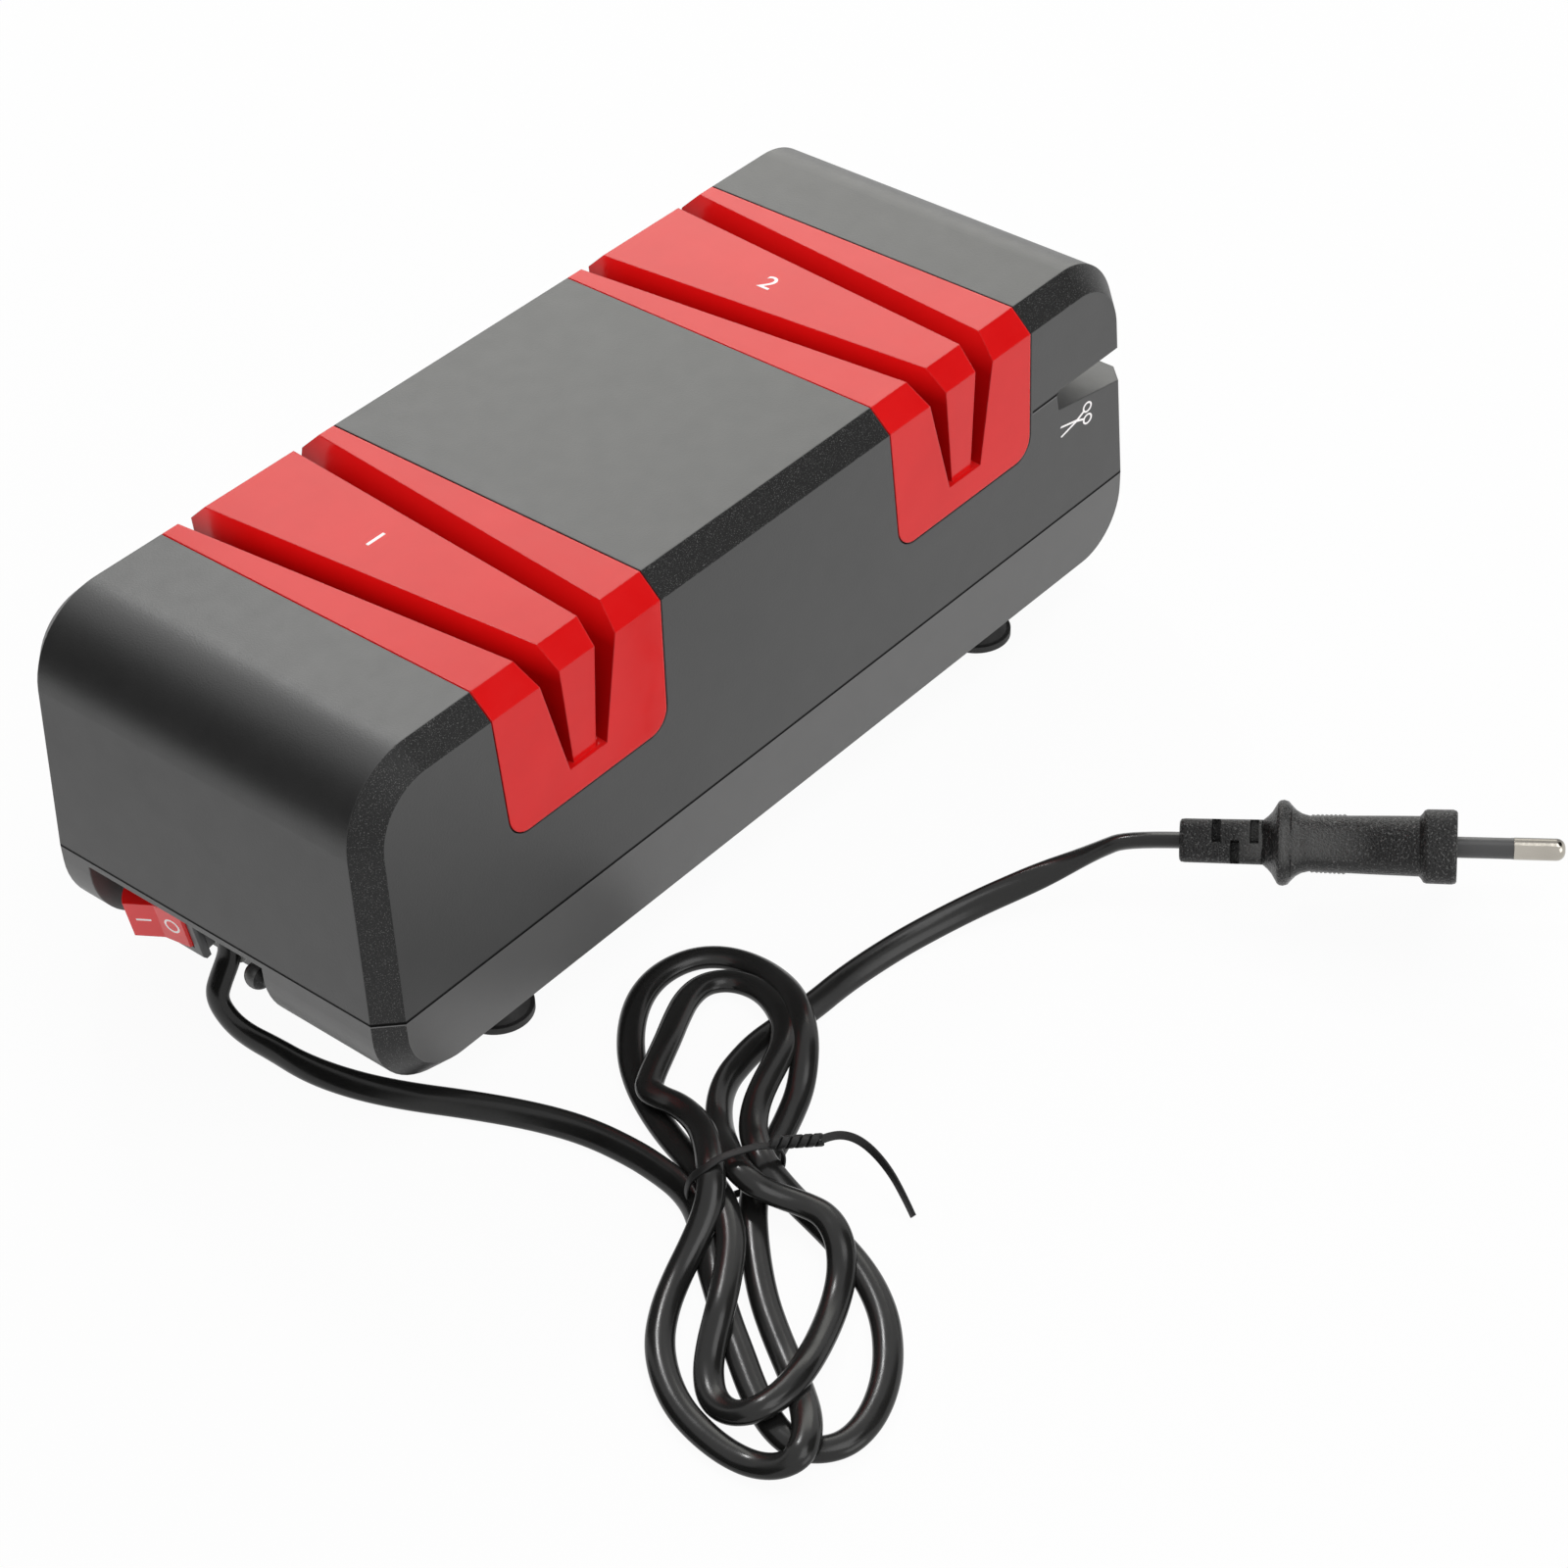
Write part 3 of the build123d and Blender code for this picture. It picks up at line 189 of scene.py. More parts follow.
# the flat cord: exit, lead-in, crossing loops on both sides of the tie, lead-out to the plug
cordSet = {
    "wide": 5.1,
    "thick": 3.1,
    "fullness": 2.08,
    "outlinePoints": 28,
    "steps": 7,
    "smooth": 60,
    # the cord's wide way leans in the lead-in and the lead-out, and lies flat between them
    "roll": 45,
    "rollUntil": 112,
    "rollAgain": 770,
    "rollBlend": 26,
    # it leaves the housing along dropWide and enters the plug along plugWide
    "dropFrom": 10,
    "dropOver": 40,
    "dropWide": (0.0, -1.0, 0.0),
    "plugFrom": 40,
    "plugOver": 34,
    "plugWide": (0.6704, 0.3738, -0.641),
    "route": [
        # out of the bush and down to the floor
        (-101.4, 3.2, 18.9), (-101.9, 2.7, 17.4), (-102.6, 2.6, 15.8), (-103.7, 2.7, 14.1),
        (-104.9, 2.9, 12.1), (-106.2, 2.9, 9.9), (-106.6, 1.9, 7.5), (-106.5, -0.9, 4.9),
        # lead-in to the tie
        (-106.0, -4.5, 3.4), (-105.2, -9.5, 2.7), (-104.8, -17.3, 2.2), (-102.8, -26.7, 2.2),
        (-99.2, -36.0, 2.2), (-93.7, -46.7, 2.2), (-88.8, -57.7, 2.2), (-85.9, -67.5, 2.2),
        (-85.1, -77.2, 2.2), (-85.4, -83.5, 2.2), (-86.1, -88.8, 2.2), (-88.1, -93.8, 2.2),
        # first loop beyond the tie
        (-91.6, -98.6, 1.9), (-95.7, -103.5, 1.6), (-100.3, -109.5, 1.6), (-104.7, -115.3, 1.6),
        (-108.7, -121.3, 1.6), (-112.5, -126.7, 1.6), (-115.8, -132.2, 1.6), (-117.8, -137.4, 1.6),
        (-118.1, -141.6, 1.6), (-116.1, -144.8, 1.6), (-112.7, -146.9, 1.6), (-107.9, -147.0, 1.6),
        (-102.5, -145.5, 1.6), (-96.9, -142.6, 1.6), (-91.8, -138.7, 1.6), (-87.4, -134.2, 1.6),
        (-83.8, -128.9, 1.6), (-81.3, -123.7, 1.6), (-79.5, -118.4, 1.6), (-78.1, -113.1, 1.8),
        (-77.0, -107.2, 2.4), (-76.4, -102.7, 3.9),
        # first loop back towards the housing
        (-75.3, -98.6, 4.9), (-72.7, -94.5, 4.8), (-69.0, -90.6, 4.2), (-64.5, -87.6, 4.2),
        (-59.9, -85.7, 4.6), (-55.3, -84.2, 4.8), (-50.5, -82.3, 4.8), (-46.1, -79.1, 4.4),
        (-42.7, -74.6, 3.7), (-40.3, -69.2, 2.8), (-40.1, -64.3, 2.2), (-41.9, -60.7, 2.2),
        (-45.6, -58.8, 2.6), (-50.8, -59.6, 3.3), (-56.5, -62.2, 4.0), (-61.5, -64.8, 4.6),
        (-66.4, -67.0, 4.8), (-70.7, -68.9, 4.8), (-73.7, -70.7, 4.8), (-73.9, -73.6, 4.8),
        (-73.2, -76.8, 4.7), (-73.9, -81.0, 4.9), (-76.0, -85.4, 5.7), (-79.7, -89.9, 6.7),
        # second loop beyond the tie
        (-83.8, -94.1, 7.4), (-87.2, -97.0, 6.6), (-91.1, -98.8, 4.8), (-96.1, -100.3, 3.1),
        (-102.2, -102.1, 1.9), (-108.6, -104.9, 1.6), (-114.8, -109.0, 1.6), (-119.7, -114.4, 1.6),
        (-123.3, -120.4, 1.6), (-125.1, -126.4, 1.6), (-125.9, -132.6, 1.6), (-125.4, -138.0, 1.7),
        (-124.0, -142.4, 3.1), (-121.6, -144.5, 4.8), (-117.5, -142.9, 4.8), (-113.2, -139.2, 3.9),
        (-108.8, -133.8, 2.2), (-105.1, -128.3, 1.6), (-101.4, -122.6, 1.6), (-97.3, -116.9, 1.6),
        (-92.4, -111.3, 1.6), (-87.1, -106.0, 1.6),
        # second loop back towards the housing
        (-82.2, -101.6, 1.6), (-77.3, -98.4, 1.6), (-72.4, -96.2, 1.6), (-67.1, -94.5, 1.6),
        (-61.1, -92.3, 1.6), (-55.8, -90.2, 2.2), (-51.5, -87.7, 3.7), (-46.8, -84.1, 4.8),
        (-42.1, -79.1, 4.8), (-38.1, -73.2, 3.9), (-35.6, -66.6, 2.4), (-35.1, -60.7, 1.6),
        (-36.6, -56.1, 1.6), (-39.7, -52.5, 1.6), (-44.3, -50.5, 1.6), (-49.6, -50.2, 1.6),
        (-55.5, -51.9, 1.6), (-61.9, -55.9, 1.6), (-67.7, -61.3, 1.6), (-72.0, -67.1, 1.6),
        (-75.3, -73.3, 1.6), (-78.0, -79.4, 1.9), (-80.3, -85.3, 2.6), (-82.6, -90.9, 3.9),
        # third loop beyond the tie
        (-84.4, -95.8, 4.0), (-87.7, -100.9, 4.2), (-92.2, -105.7, 4.4), (-98.2, -110.0, 4.6),
        (-105.0, -114.1, 4.6), (-110.7, -116.9, 2.9), (-115.3, -120.0, 1.8), (-119.1, -124.3, 1.8),
        (-120.2, -129.0, 2.8), (-118.4, -132.9, 4.6), (-113.5, -134.1, 4.7), (-107.0, -133.4, 4.6),
        (-98.6, -130.3, 2.9), (-90.6, -126.7, 1.9), (-84.3, -123.1, 2.5), (-80.3, -119.2, 4.2),
        (-77.9, -114.3, 4.6), (-78.4, -109.9, 4.8), (-80.0, -105.7, 5.5), (-81.4, -101.8, 6.7),
        # through the tie and out to the plug
        (-80.7, -97.2, 7.1), (-77.2, -91.6, 5.8), (-71.5, -85.0, 3.1), (-66.1, -80.5, 2.4),
        (-61.1, -78.0, 2.2), (-56.5, -77.1, 2.2), (-51.7, -76.6, 2.2), (-46.6, -77.0, 2.2),
        (-38.0, -78.0, 2.2), (-28.2, -78.1, 2.2), (-16.2, -79.9, 2.5), (-7.2, -82.5, 3.2),
        (1.3, -86.1, 4.6), (9.6, -91.0, 6.7), (16.1, -95.7, 9.2), (20.4, -99.6, 11.7),
        (23.27, -103.13, 13.91), (28.9, -112.2, 14.45),
    ],
}


def eased(share):
    share = min(max(share, 0), 1)
    return share * share * (3 - 2 * share)


def layCord(look):
    path = splinePath("cordRoute", look["route"], look["steps"])
    travelled = [0]
    for first, second in zip(path, path[1:]):
        travelled.append(travelled[-1] + (second - first).length)
    total = travelled[-1]
    up = Vector((0, 0, 1))
    carried, plugWide = Vector(look["dropWide"]), Vector(look["plugWide"])
    wides = []
    for i, s in enumerate(travelled):
        ahead = (path[min(i + 1, len(path) - 1)] - path[max(i - 1, 0)]).normalized()
        flat = ahead.cross(up).normalized()
        rolled = 1 - eased((s - look["rollUntil"]) / look["rollBlend"])
        rolled = max(rolled, eased((s - look["rollAgain"]) / look["rollBlend"]))
        roll = math.radians(look["roll"]) * rolled
        wide = flat * math.cos(roll) - up * math.sin(roll)
        drop = 1 - eased((s - look["dropFrom"]) / look["dropOver"])
        carried = (carried - ahead * carried.dot(ahead)).normalized()
        if drop > 0 and wide.dot(carried) < 0:
            wide = -wide
        wide = wide.lerp(carried, drop)
        toPlug = eased((s - total + look["plugFrom"]) / look["plugOver"])
        target = plugWide if plugWide.dot(wide) > 0 else -plugWide
        wide = wide.lerp(target, toPlug)
        if wides and wide.dot(wides[-1]) < 0:
            wide = -wide
        wides.append(wide)
    outline = ovalOutline(look["wide"], look["thick"], look["fullness"], look["outlinePoints"])
    print("cord is", round(total), "mm long")
    return sweep("flatCord", path, wides, [outline], look["smooth"]), path


cord, cordPath = layCord(cordSet)
print("cord laid")

# flat two-pin plug: notched strain relief, flared collar, waisted grip, thick face
plugSet = {
    "rear": (27.73, -110.35, 14.35),
    "axis": (0.5241, -0.85, 0.0524),
    "wide": (0.6704, 0.3738, -0.641),
    # distance from the rear, width, thickness
    "rings": [
        (1.3, 7.8, 7.0), (1.6, 8.8, 7.8), (2.3, 9.2, 8.0), (16.4, 11.5, 8.2),
        (17.3, 13.5, 9.7), (18.0, 16, 11.2), (18.6, 19, 13.1), (19.1, 20.8, 14.8),
        (19.5, 21.4, 15.4), (20.1, 21.6, 15.6), (20.7, 21.4, 15.3), (21.3, 21.6, 13.9),
        (22.1, 22, 12.2), (23.2, 22.4, 10.9), (25, 23.4, 10.0), (31, 26, 10.3),
        (38, 29.2, 10.6), (44.4, 32.2, 10.8), (44.8, 33.2, 11.6), (45.2, 34.6, 12.8),
        (45.7, 35.2, 13.2), (50.2, 35.3, 13.3), (50.8, 34.9, 12.9), (51, 34.3, 12.3),
    ],
    # up to each distance, corner radius as a share of the width or thickness, whichever is less
    "corners": [(16.4, 0.22), (21.5, 0.42), (44.8, 0.36), (51.1, 0.26)],
    "cornerSteps": 7,
    "sideSteps": 9,
    "step": 0.24,
    "stepped": 49.6,
    "notches": [(8.0, 1), (11.4, -1), (14.9, 1)],  # distance and side of each
    "notchWide": 1.5,
    "notchDeep": 2.6,
    "notchWall": 0.04,  # slope of a notch's walls
    "notchSlack": 0.001,
    "notchFrom": 0.25,  # off the middle, where a notch starts
    "notchRim": 0.15,  # left standing at the broad side
    # finger grooves, within a share of the width and outside a share of the thickness
    "ribs": {"from": 25.0, "until": 31.4, "pitch": 0.8, "high": 0.28, "across": 0.34, "outside": 0.4},
    "smooth": 32,
}


def plugStations(look):
    # even steps along the plug, and every ring and notch wall between them
    start = look["rings"][0][0]
    steps = int(look["stepped"] / look["step"]) + 1
    even = {round(start + i * look["step"], 3) for i in range(steps)}
    corners = {ring[0] for ring in look["rings"]}
    edges = {
        at + side * (look["notchWide"] / 2 + wall)
        for at, _ in look["notches"]
        for side in (-1, 1)
        for wall in (0, look["notchWall"])
    }
    return sorted(even | corners | edges)


def plugSize(look, s):
    # width and thickness at the distance s from the rear
    for low, high in zip(look["rings"], look["rings"][1:]):
        if low[0] <= s <= high[0]:
            share = (s - low[0]) / (high[0] - low[0])
            width = low[1] + (high[1] - low[1]) * share
            thick = low[2] + (high[2] - low[2]) * share
    return width, thick


def makePlug(look):
    rear, axis, wide = Vector(look["rear"]), Vector(look["axis"]), Vector(look["wide"])
    ribs, deep = look["ribs"], look["notchDeep"]
    path, outlines = [], []
    for s in plugStations(look):
        width, thick = plugSize(look, s)
        corner = min(thick, width) * next(share for until, share in look["corners"] if s < until)
        half = look["notchWide"] / 2 + look["notchSlack"]
        cut = next((side for at, side in look["notches"] if abs(s - at) <= half), 0)
        ribbed = ribs["from"] < s < ribs["until"]
        shaped = []
        for a, b in roundedOutline(width, thick, corner, look["cornerSteps"], look["sideSteps"]):
            inNotch = look["notchFrom"] < cut * b < thick / 2 - look["notchRim"]
            if cut and inNotch and abs(a) > width / 2 - deep:
                a = math.copysign(width / 2 - deep, a)
            if ribbed and abs(a) < width * ribs["across"] and abs(b) > thick * ribs["outside"]:
                wave = 0.5 - 0.5 * math.cos(2 * math.pi * (s - ribs["from"]) / ribs["pitch"])
                b += math.copysign(ribs["high"] * wave, b)
            shaped.append((a, b))
        path.append(rear + axis * s)
        outlines.append(shaped)
    return sweep("plugBody", path, [wide] * len(path), outlines, look["smooth"])


plug = makePlug(plugSet)
print("plug made")

# twist tie: a flat band round the neck of the loops, its twisted ends and one loose end
tieSet = {
    "wide": 1.5,
    "thick": 0.5,
    "corner": 0.2,
    "strandWide": 1.3,
    "strandThick": 0.95,
    "strandCorner": 0.3,
    "cornerSteps": 3,
    "sideSteps": 2,
    "bandAlong": (-0.5, -0.86, 0),
    "bandSteps": 6,
    "band": [
        (-88.4, -92.8, 1.2), (-88.3, -92.3, 2.8), (-88.0, -92.1, 4.8), (-86.9, -92.4, 7.0),
        (-85.3, -93.8, 8.7), (-82.2, -94.9, 9.5), (-79.1, -96.6, 9.8), (-76.1, -98.4, 9.7),
        (-73.6, -100.0, 8.6), (-72.6, -100.6, 6.4), (-72.8, -100.4, 3.4), (-73.8, -99.8, 1.0),
        (-76.5, -98.2, 0.4), (-81.0, -96.0, 0.3), (-85.4, -93.9, 0.4),
    ],
    "knotStart": (-74.2, -99.6, 9.7),
    "knotEnd": (-68.2, -105.4, 9.3),
    "knotTurns": 2.5,
    "knotRadius": 0.68,
    "knotSteps": 72,
    "knotLean": 0.6,
    "tailAlong": (0.9, 0.4, 0),
    "tailLean": 35,  # degrees, at its start
    "tailTurn": 40,
    "tailSteps": 8,
    "tail": [
        (-68.2, -105.4, 9.3), (-66.1, -106.3, 9.4), (-64.1, -108.6, 9.0), (-63.4, -111.8, 8.0),
        (-63.9, -116.2, 6.2), (-65.1, -120.3, 3.8), (-66.6, -124.0, 1.2),
    ],
    "smooth": 50,
}


def makeTie(look):
    steps = look["cornerSteps"], look["sideSteps"]
    flat = roundedOutline(look["wide"], look["thick"], look["corner"], *steps)
    strand = roundedOutline(look["strandWide"], look["strandThick"], look["strandCorner"], *steps)
    up = Vector((0, 0, 1))

    path = ringPath(look["band"], look["bandSteps"])
    along = Vector(look["bandAlong"])
    pieces = [sweep("tieBand", path, [along] * len(path), [flat], look["smooth"], closed=True)]

    start, end = Vector(look["knotStart"]), Vector(look["knotEnd"])
    axis = (end - start).normalized()
    side = axis.cross(up).normalized()
    rise = side.cross(axis)
    for turn, letter in enumerate("AB"):
        path, wides = [], []
        for i in range(look["knotSteps"] + 1):
            share = i / look["knotSteps"]
            angle = 2 * math.pi * look["knotTurns"] * share + math.pi * turn
            out = side * math.cos(angle) + rise * math.sin(angle)
            path.append(start + (end - start) * share + out * look["knotRadius"])
            wides.append(axis.cross(out) + axis * look["knotLean"])
        pieces.append(sweep("tieStrand" + letter, path, wides, [strand], look["smooth"]))

    path = splinePath("tieRoute", look["tail"], look["tailSteps"])
    wides = []
    for i in range(len(path)):
        angle = math.radians(look["tailLean"] + look["tailTurn"] * i / len(path))
        wides.append(Vector(look["tailAlong"]) * math.cos(angle) + up * math.sin(angle))
    pieces.append(sweep("tieTail", path, wides, [flat], look["smooth"]))
    return pieces


tiePieces = makeTie(tieSet)
print("tie made")

# marks: raised stage numbers, a pair of scissors beside its slot, and the switch's two signs
markSet = {
    "sunk": 0.05,
    "lift": 0.09,
    "numbers": [("1", (-53.2, 6.0)), ("2", (53.4, 5.0))],
    "numberSize": 6.4,
    "numberTop": 77.6,
    "scissorsAt": (88.6, 46.5),
    "hoopAt": (3.6, 1.35),
    "hoopRadii": (1.12, 0.78),
    "hoopStretch": 1.3,
    "hoopPoints": 40,
    "blade": [(2.5, 0.68), (2.3, 1.06), (-0.5, 0.04), (-5.2, -1.0), (-4.9, -1.28), (0.0, -0.28)],
    "rockerCrease": (-103.827, 19.154, 16.631),
    "rockerUp": (-0.173648, 0, 0.984808),
    "rockerLift": 0.06,
    "rockerAbove": 6,
    "rockerReach": 9,
    "barWing": (-0.46, 0.884, -0.081),
    "barAt": (2.9, 0.2),
    "barSize": (2.9, 0.42),
    "ringWing": (0.1285, -0.9914, 0.0227),
    "ringAt": (3.1, 0.15),
    "ringRadii": (1.7, 1.28),
}


def plateFrom(form, outline, place, look, lift):
    top = [form.verts.new(place(a, b, lift)) for a, b in outline]
    low = [form.verts.new(place(a, b, -look["sunk"])) for a, b in outline]
    form.faces.new(top)
    form.faces.new(low[::-1])
    for i in range(len(outline)):
        j = (i + 1) % len(outline)
        form.faces.new((top[j], top[i], low[i], low[j]))


def hoopFrom(form, centre, radii, place, look, lift, stretch=1.0):
    (outer, inner), low, count = radii, -look["sunk"], look["hoopPoints"]
    rings = []
    for radius, height in ((outer, low), (outer, lift), (inner, lift), (inner, low)):
        ring = []
        for i in range(count):
            angle = 2 * math.pi * i / count
            a = centre[0] + radius * stretch * math.cos(angle)
            b = centre[1] + radius * math.sin(angle)
            ring.append(form.verts.new(place(a, b, height)))
        rings.append(ring)
    for first, second in zip(rings, rings[1:] + rings[:1]):
        for i in range(count):
            j = (i + 1) % count
            form.faces.new((first[i], first[j], second[j], second[i]))


def makeNumbers(look):
    numbers = []
    for text, (x, y) in look["numbers"]:
        data = bpy.data.curves.new("stageNumber" + text, "FONT")
        data.body = text
        data.size = look["numberSize"] * mm
        data.align_x = "CENTER"
        data.align_y = "CENTER"
        data.extrude = look["lift"] * mm / 2
        number = bpy.data.objects.new("stageNumber" + text, data)
        number.location = (x * mm, y * mm, (look["numberTop"] + look["lift"] / 2) * mm)
        number.rotation_euler = (0, 0, -math.pi / 2)
        bpy.context.scene.collection.objects.link(number)
        numbers.append(number)
    return numbers


def makeScissorsMark(look):
    centreX, centreZ = look["scissorsAt"]
    outside = -0.2  # metres, well clear of the near side

    def place(a, b, height):
        # onto the housing's side wall
        start = Vector(((centreX + a) * mm, outside, (centreZ + b) * mm))
        _, seat, normal, _ = cadNodes["upper_cover"].ray_cast(start, Vector((0, 1, 0)))
        return seat / mm + normal * height

    form = bmesh.new()
    hoopX, hoopZ = look["hoopAt"]
    for side in (-1, 1):
        centre = (hoopX, side * hoopZ)
        hoopFrom(form, centre, look["hoopRadii"], place, look, look["lift"], look["hoopStretch"])
        outline = [(a, side * b) for a, b in look["blade"]]
        plateFrom(form, outline[::side], place, look, look["lift"])
    return meshPiece("scissorsMark", form)


def makeSwitchMarks(look):
    rocker = cadNodes["switch_rocker"]
    crease, up = Vector(look["rockerCrease"]), Vector(look["rockerUp"])
    lift, above, reach = look["rockerLift"], look["rockerAbove"], look["rockerReach"] * mm
    marks = []
    for name, part in (("onMark", "bar"), ("offMark", "ring")):
        along = Vector(look[part + "Wing"]).normalized()
        atAlong, atUp = look[part + "At"]
        out = along.cross(up)
        if out.x > 0:
            out = -out

        def place(a, b, height):
            # onto the rocker's face
            spot = crease + along * (atAlong + a) + up * (atUp + b)
            _, seat, _, _ = rocker.ray_cast((spot + out * above) * mm, -out, distance=reach)
            return seat / mm + out * height

        form = bmesh.new()
        if part == "bar":
            x, y = look["barSize"][0] / 2, look["barSize"][1] / 2
            plateFrom(form, [(-x, -y), (x, -y), (x, y), (-x, y)], place, look, lift)
        else:
            hoopFrom(form, (0, 0), look["ringRadii"], place, look, lift)
        marks.append(meshPiece(name, form))
    return marks


numbers = makeNumbers(markSet)
scissorsMark = makeScissorsMark(markSet)
switchMarks = makeSwitchMarks(markSet)
print("marks made")


# node helpers: a value is another node's output, a number or a tone
def feed(tree, socket, value):
    if hasattr(value, "links"):
        tree.links.new(value, socket)
    elif socket.type == "RGBA":
        socket.default_value = (*value, 1)
    else:
        socket.default_value = value


def addNode(tree, kind, settings=None, **inputs):
    node = tree.nodes.new(kind)
    for key, value in (settings or {}).items():
        setattr(node, key, value)
    for key, value in inputs.items():
        feed(tree, node.inputs[key.replace("_", " ")], value)
    return node


def combine(tree, operation, *values, kind="ShaderNodeMath", output=0):
    node = addNode(tree, kind, {"operation": operation})
    for socket, value in zip(node.inputs, values):
        feed(tree, socket, value)
    return node.outputs[output]


def spread(tree, value, low, high, toLow, toHigh):
    # low to high becomes toLow to toHigh
    ends = {"From_Min": low, "From_Max": high, "To_Min": toLow, "To_Max": toHigh}
    return addNode(tree, "ShaderNodeMapRange", Value=value, **ends).outputs[0]


def noiseOf(tree, place, scale, detail, rough=0.5):
    noise = addNode(tree, "ShaderNodeTexNoise", Vector=place, Scale=scale, Detail=detail, Roughness=rough)
    return noise.outputs[0]


def mixTones(tree, share, first, second):
    node = addNode(tree, "ShaderNodeMix", {"data_type": "RGBA"})
    for i, value in ((0, share), (6, first), (7, second)):
        feed(tree, node.inputs[i], value)
    return node.outputs[2]


def mixShine(tree, share, first, second):
    node = addNode(tree, "ShaderNodeMix")
    for i, value in ((0, share), (2, first), (3, second)):
        feed(tree, node.inputs[i], value)
    return node.outputs[0]


def coordinate(tree, kind, axis=None):
    # the place or the normal on the piece, or one axis of it
    whole = addNode(tree, "ShaderNodeTexCoord").outputs[kind]
    return addNode(tree, "ShaderNodeSeparateXYZ", Vector=whole).outputs[axis] if axis else whole


# what single finishes have on top of their two tones
def addLower(tree, tone, shine, lower):
    # the lower shell is a little lighter and shinier
    height, top = coordinate(tree, "Object", "Z"), lower["top"]
    share = spread(tree, height, (top - lower["blend"]) * mm, top * mm, 1, 0)
    return mixTones(tree, share, tone, lower["tone"]), mixShine(tree, share, shine, lower["shine"])


def addSeamsAndPaintedHighlights(tree, tone, shine, seamsAndPaintedHighlights):
    # the dark joints between the mouldings, each with a painted highlight line under it
    height, along = coordinate(tree, "Object", "Z"), coordinate(tree, "Object", "X")
    # how softly a seam ends: shares of its half, and metres along the part
    inside, outside, ending = 0.7, 1.3, 0.0002
    for seam in seamsAndPaintedHighlights:
        away = combine(tree, "ABSOLUTE", combine(tree, "SUBTRACT", height, seam["height"] * mm))
        line = spread(tree, away, seam["half"] * mm * inside, seam["half"] * mm * outside, 1, 0)
        beyond = spread(tree, along, seam["from"] * mm, seam["from"] * mm + ending, 0, 1)
        share = combine(tree, "MULTIPLY", line, beyond)
        tone = mixTones(tree, share, tone, seam["tone"])
        shine = mixShine(tree, share, shine, seam["shine"])
    return tone, shine


def addChamfer(tree, place, tone, shine, chamfer):
    # the chamfers along both sides are coarser and duller, with pale flecks
    sideways = combine(tree, "ABSOLUTE", coordinate(tree, "Normal", "Y"))
    fromTop = spread(tree, sideways, *chamfer["fromTop"], 0, 1)
    untilSide = spread(tree, sideways, *chamfer["untilSide"], 1, 0)
    share = combine(tree, "MULTIPLY", fromTop, untilSide)
    flecks = spread(tree, noiseOf(tree, place, chamfer["scale"], 1), *chamfer["sparse"], 0, 1)
    coarse = mixTones(tree, flecks, chamfer["ground"], chamfer["pale"])
    return mixTones(tree, share, tone, coarse), mixShine(tree, share, shine, chamfer["shine"])


def addPaintedWallLight(tree, shader, tone, walls):
    # painted light: the sides of the slots get painted shade low down and a painted glow near their top edge
    height = coordinate(tree, "Object", "Z")
    sideways = combine(tree, "ABSOLUTE", coordinate(tree, "Normal", "X"))
    isWall = spread(tree, sideways, *walls["steep"], 0, 1)
    low, high = walls["low"] * mm, walls["high"] * mm
    # deep is the painted shade low on the walls
    deep = combine(tree, "MULTIPLY", isWall, spread(tree, height, low, high, 1, 0))
    # lit is the painted glow near the top edge, light given off by plastic that is no lamp
    lit = combine(tree, "MULTIPLY", isWall, spread(tree, height, low, high, 0, walls["strength"]))
    feed(tree, shader.inputs["Emission Color"], walls["glow"])
    feed(tree, shader.inputs["Emission Strength"], lit)
    return mixTones(tree, deep, tone, walls["dark"])


def addPaintedLight(tree, tone, paintedLight):
    # painted light: another tone on the faces that look along one direction, all over or round one spot; it is a
    # painted highlight where it is lighter and painted shade where it is darker
    normal = coordinate(tree, "Normal")
    turned = combine(tree, "DOT_PRODUCT", normal, paintedLight["along"], kind="ShaderNodeVectorMath", output="Value")
    share = spread(tree, turned, *paintedLight["between"], 0, 1)
    if paintedLight.get("spot"):
        place, centre = coordinate(tree, "Object"), Vector(paintedLight["spot"]) * mm
        away = combine(tree, "DISTANCE", place, centre, kind="ShaderNodeVectorMath", output="Value")
        full, reach = paintedLight["reach"]
        share = combine(tree, "MULTIPLY", share, spread(tree, away, full * mm, reach * mm, 1, 0))
    return mixTones(tree, share, tone, paintedLight["tone"])


def addFlecks(tree, place, tone, fleck):
    flecks = spread(tree, noiseOf(tree, place, fleck["scale"], 1), *fleck["sparse"], 0, 1)
    return mixTones(tree, flecks, tone, fleck["tone"])


# how fine the patches of tone and of roughness are, and how softly they blend
patchSet = {"scale": 60, "blend": (0.35, 0.65), "roughScale": 220, "roughBlend": (0.3, 0.7), "shine": 0.5}


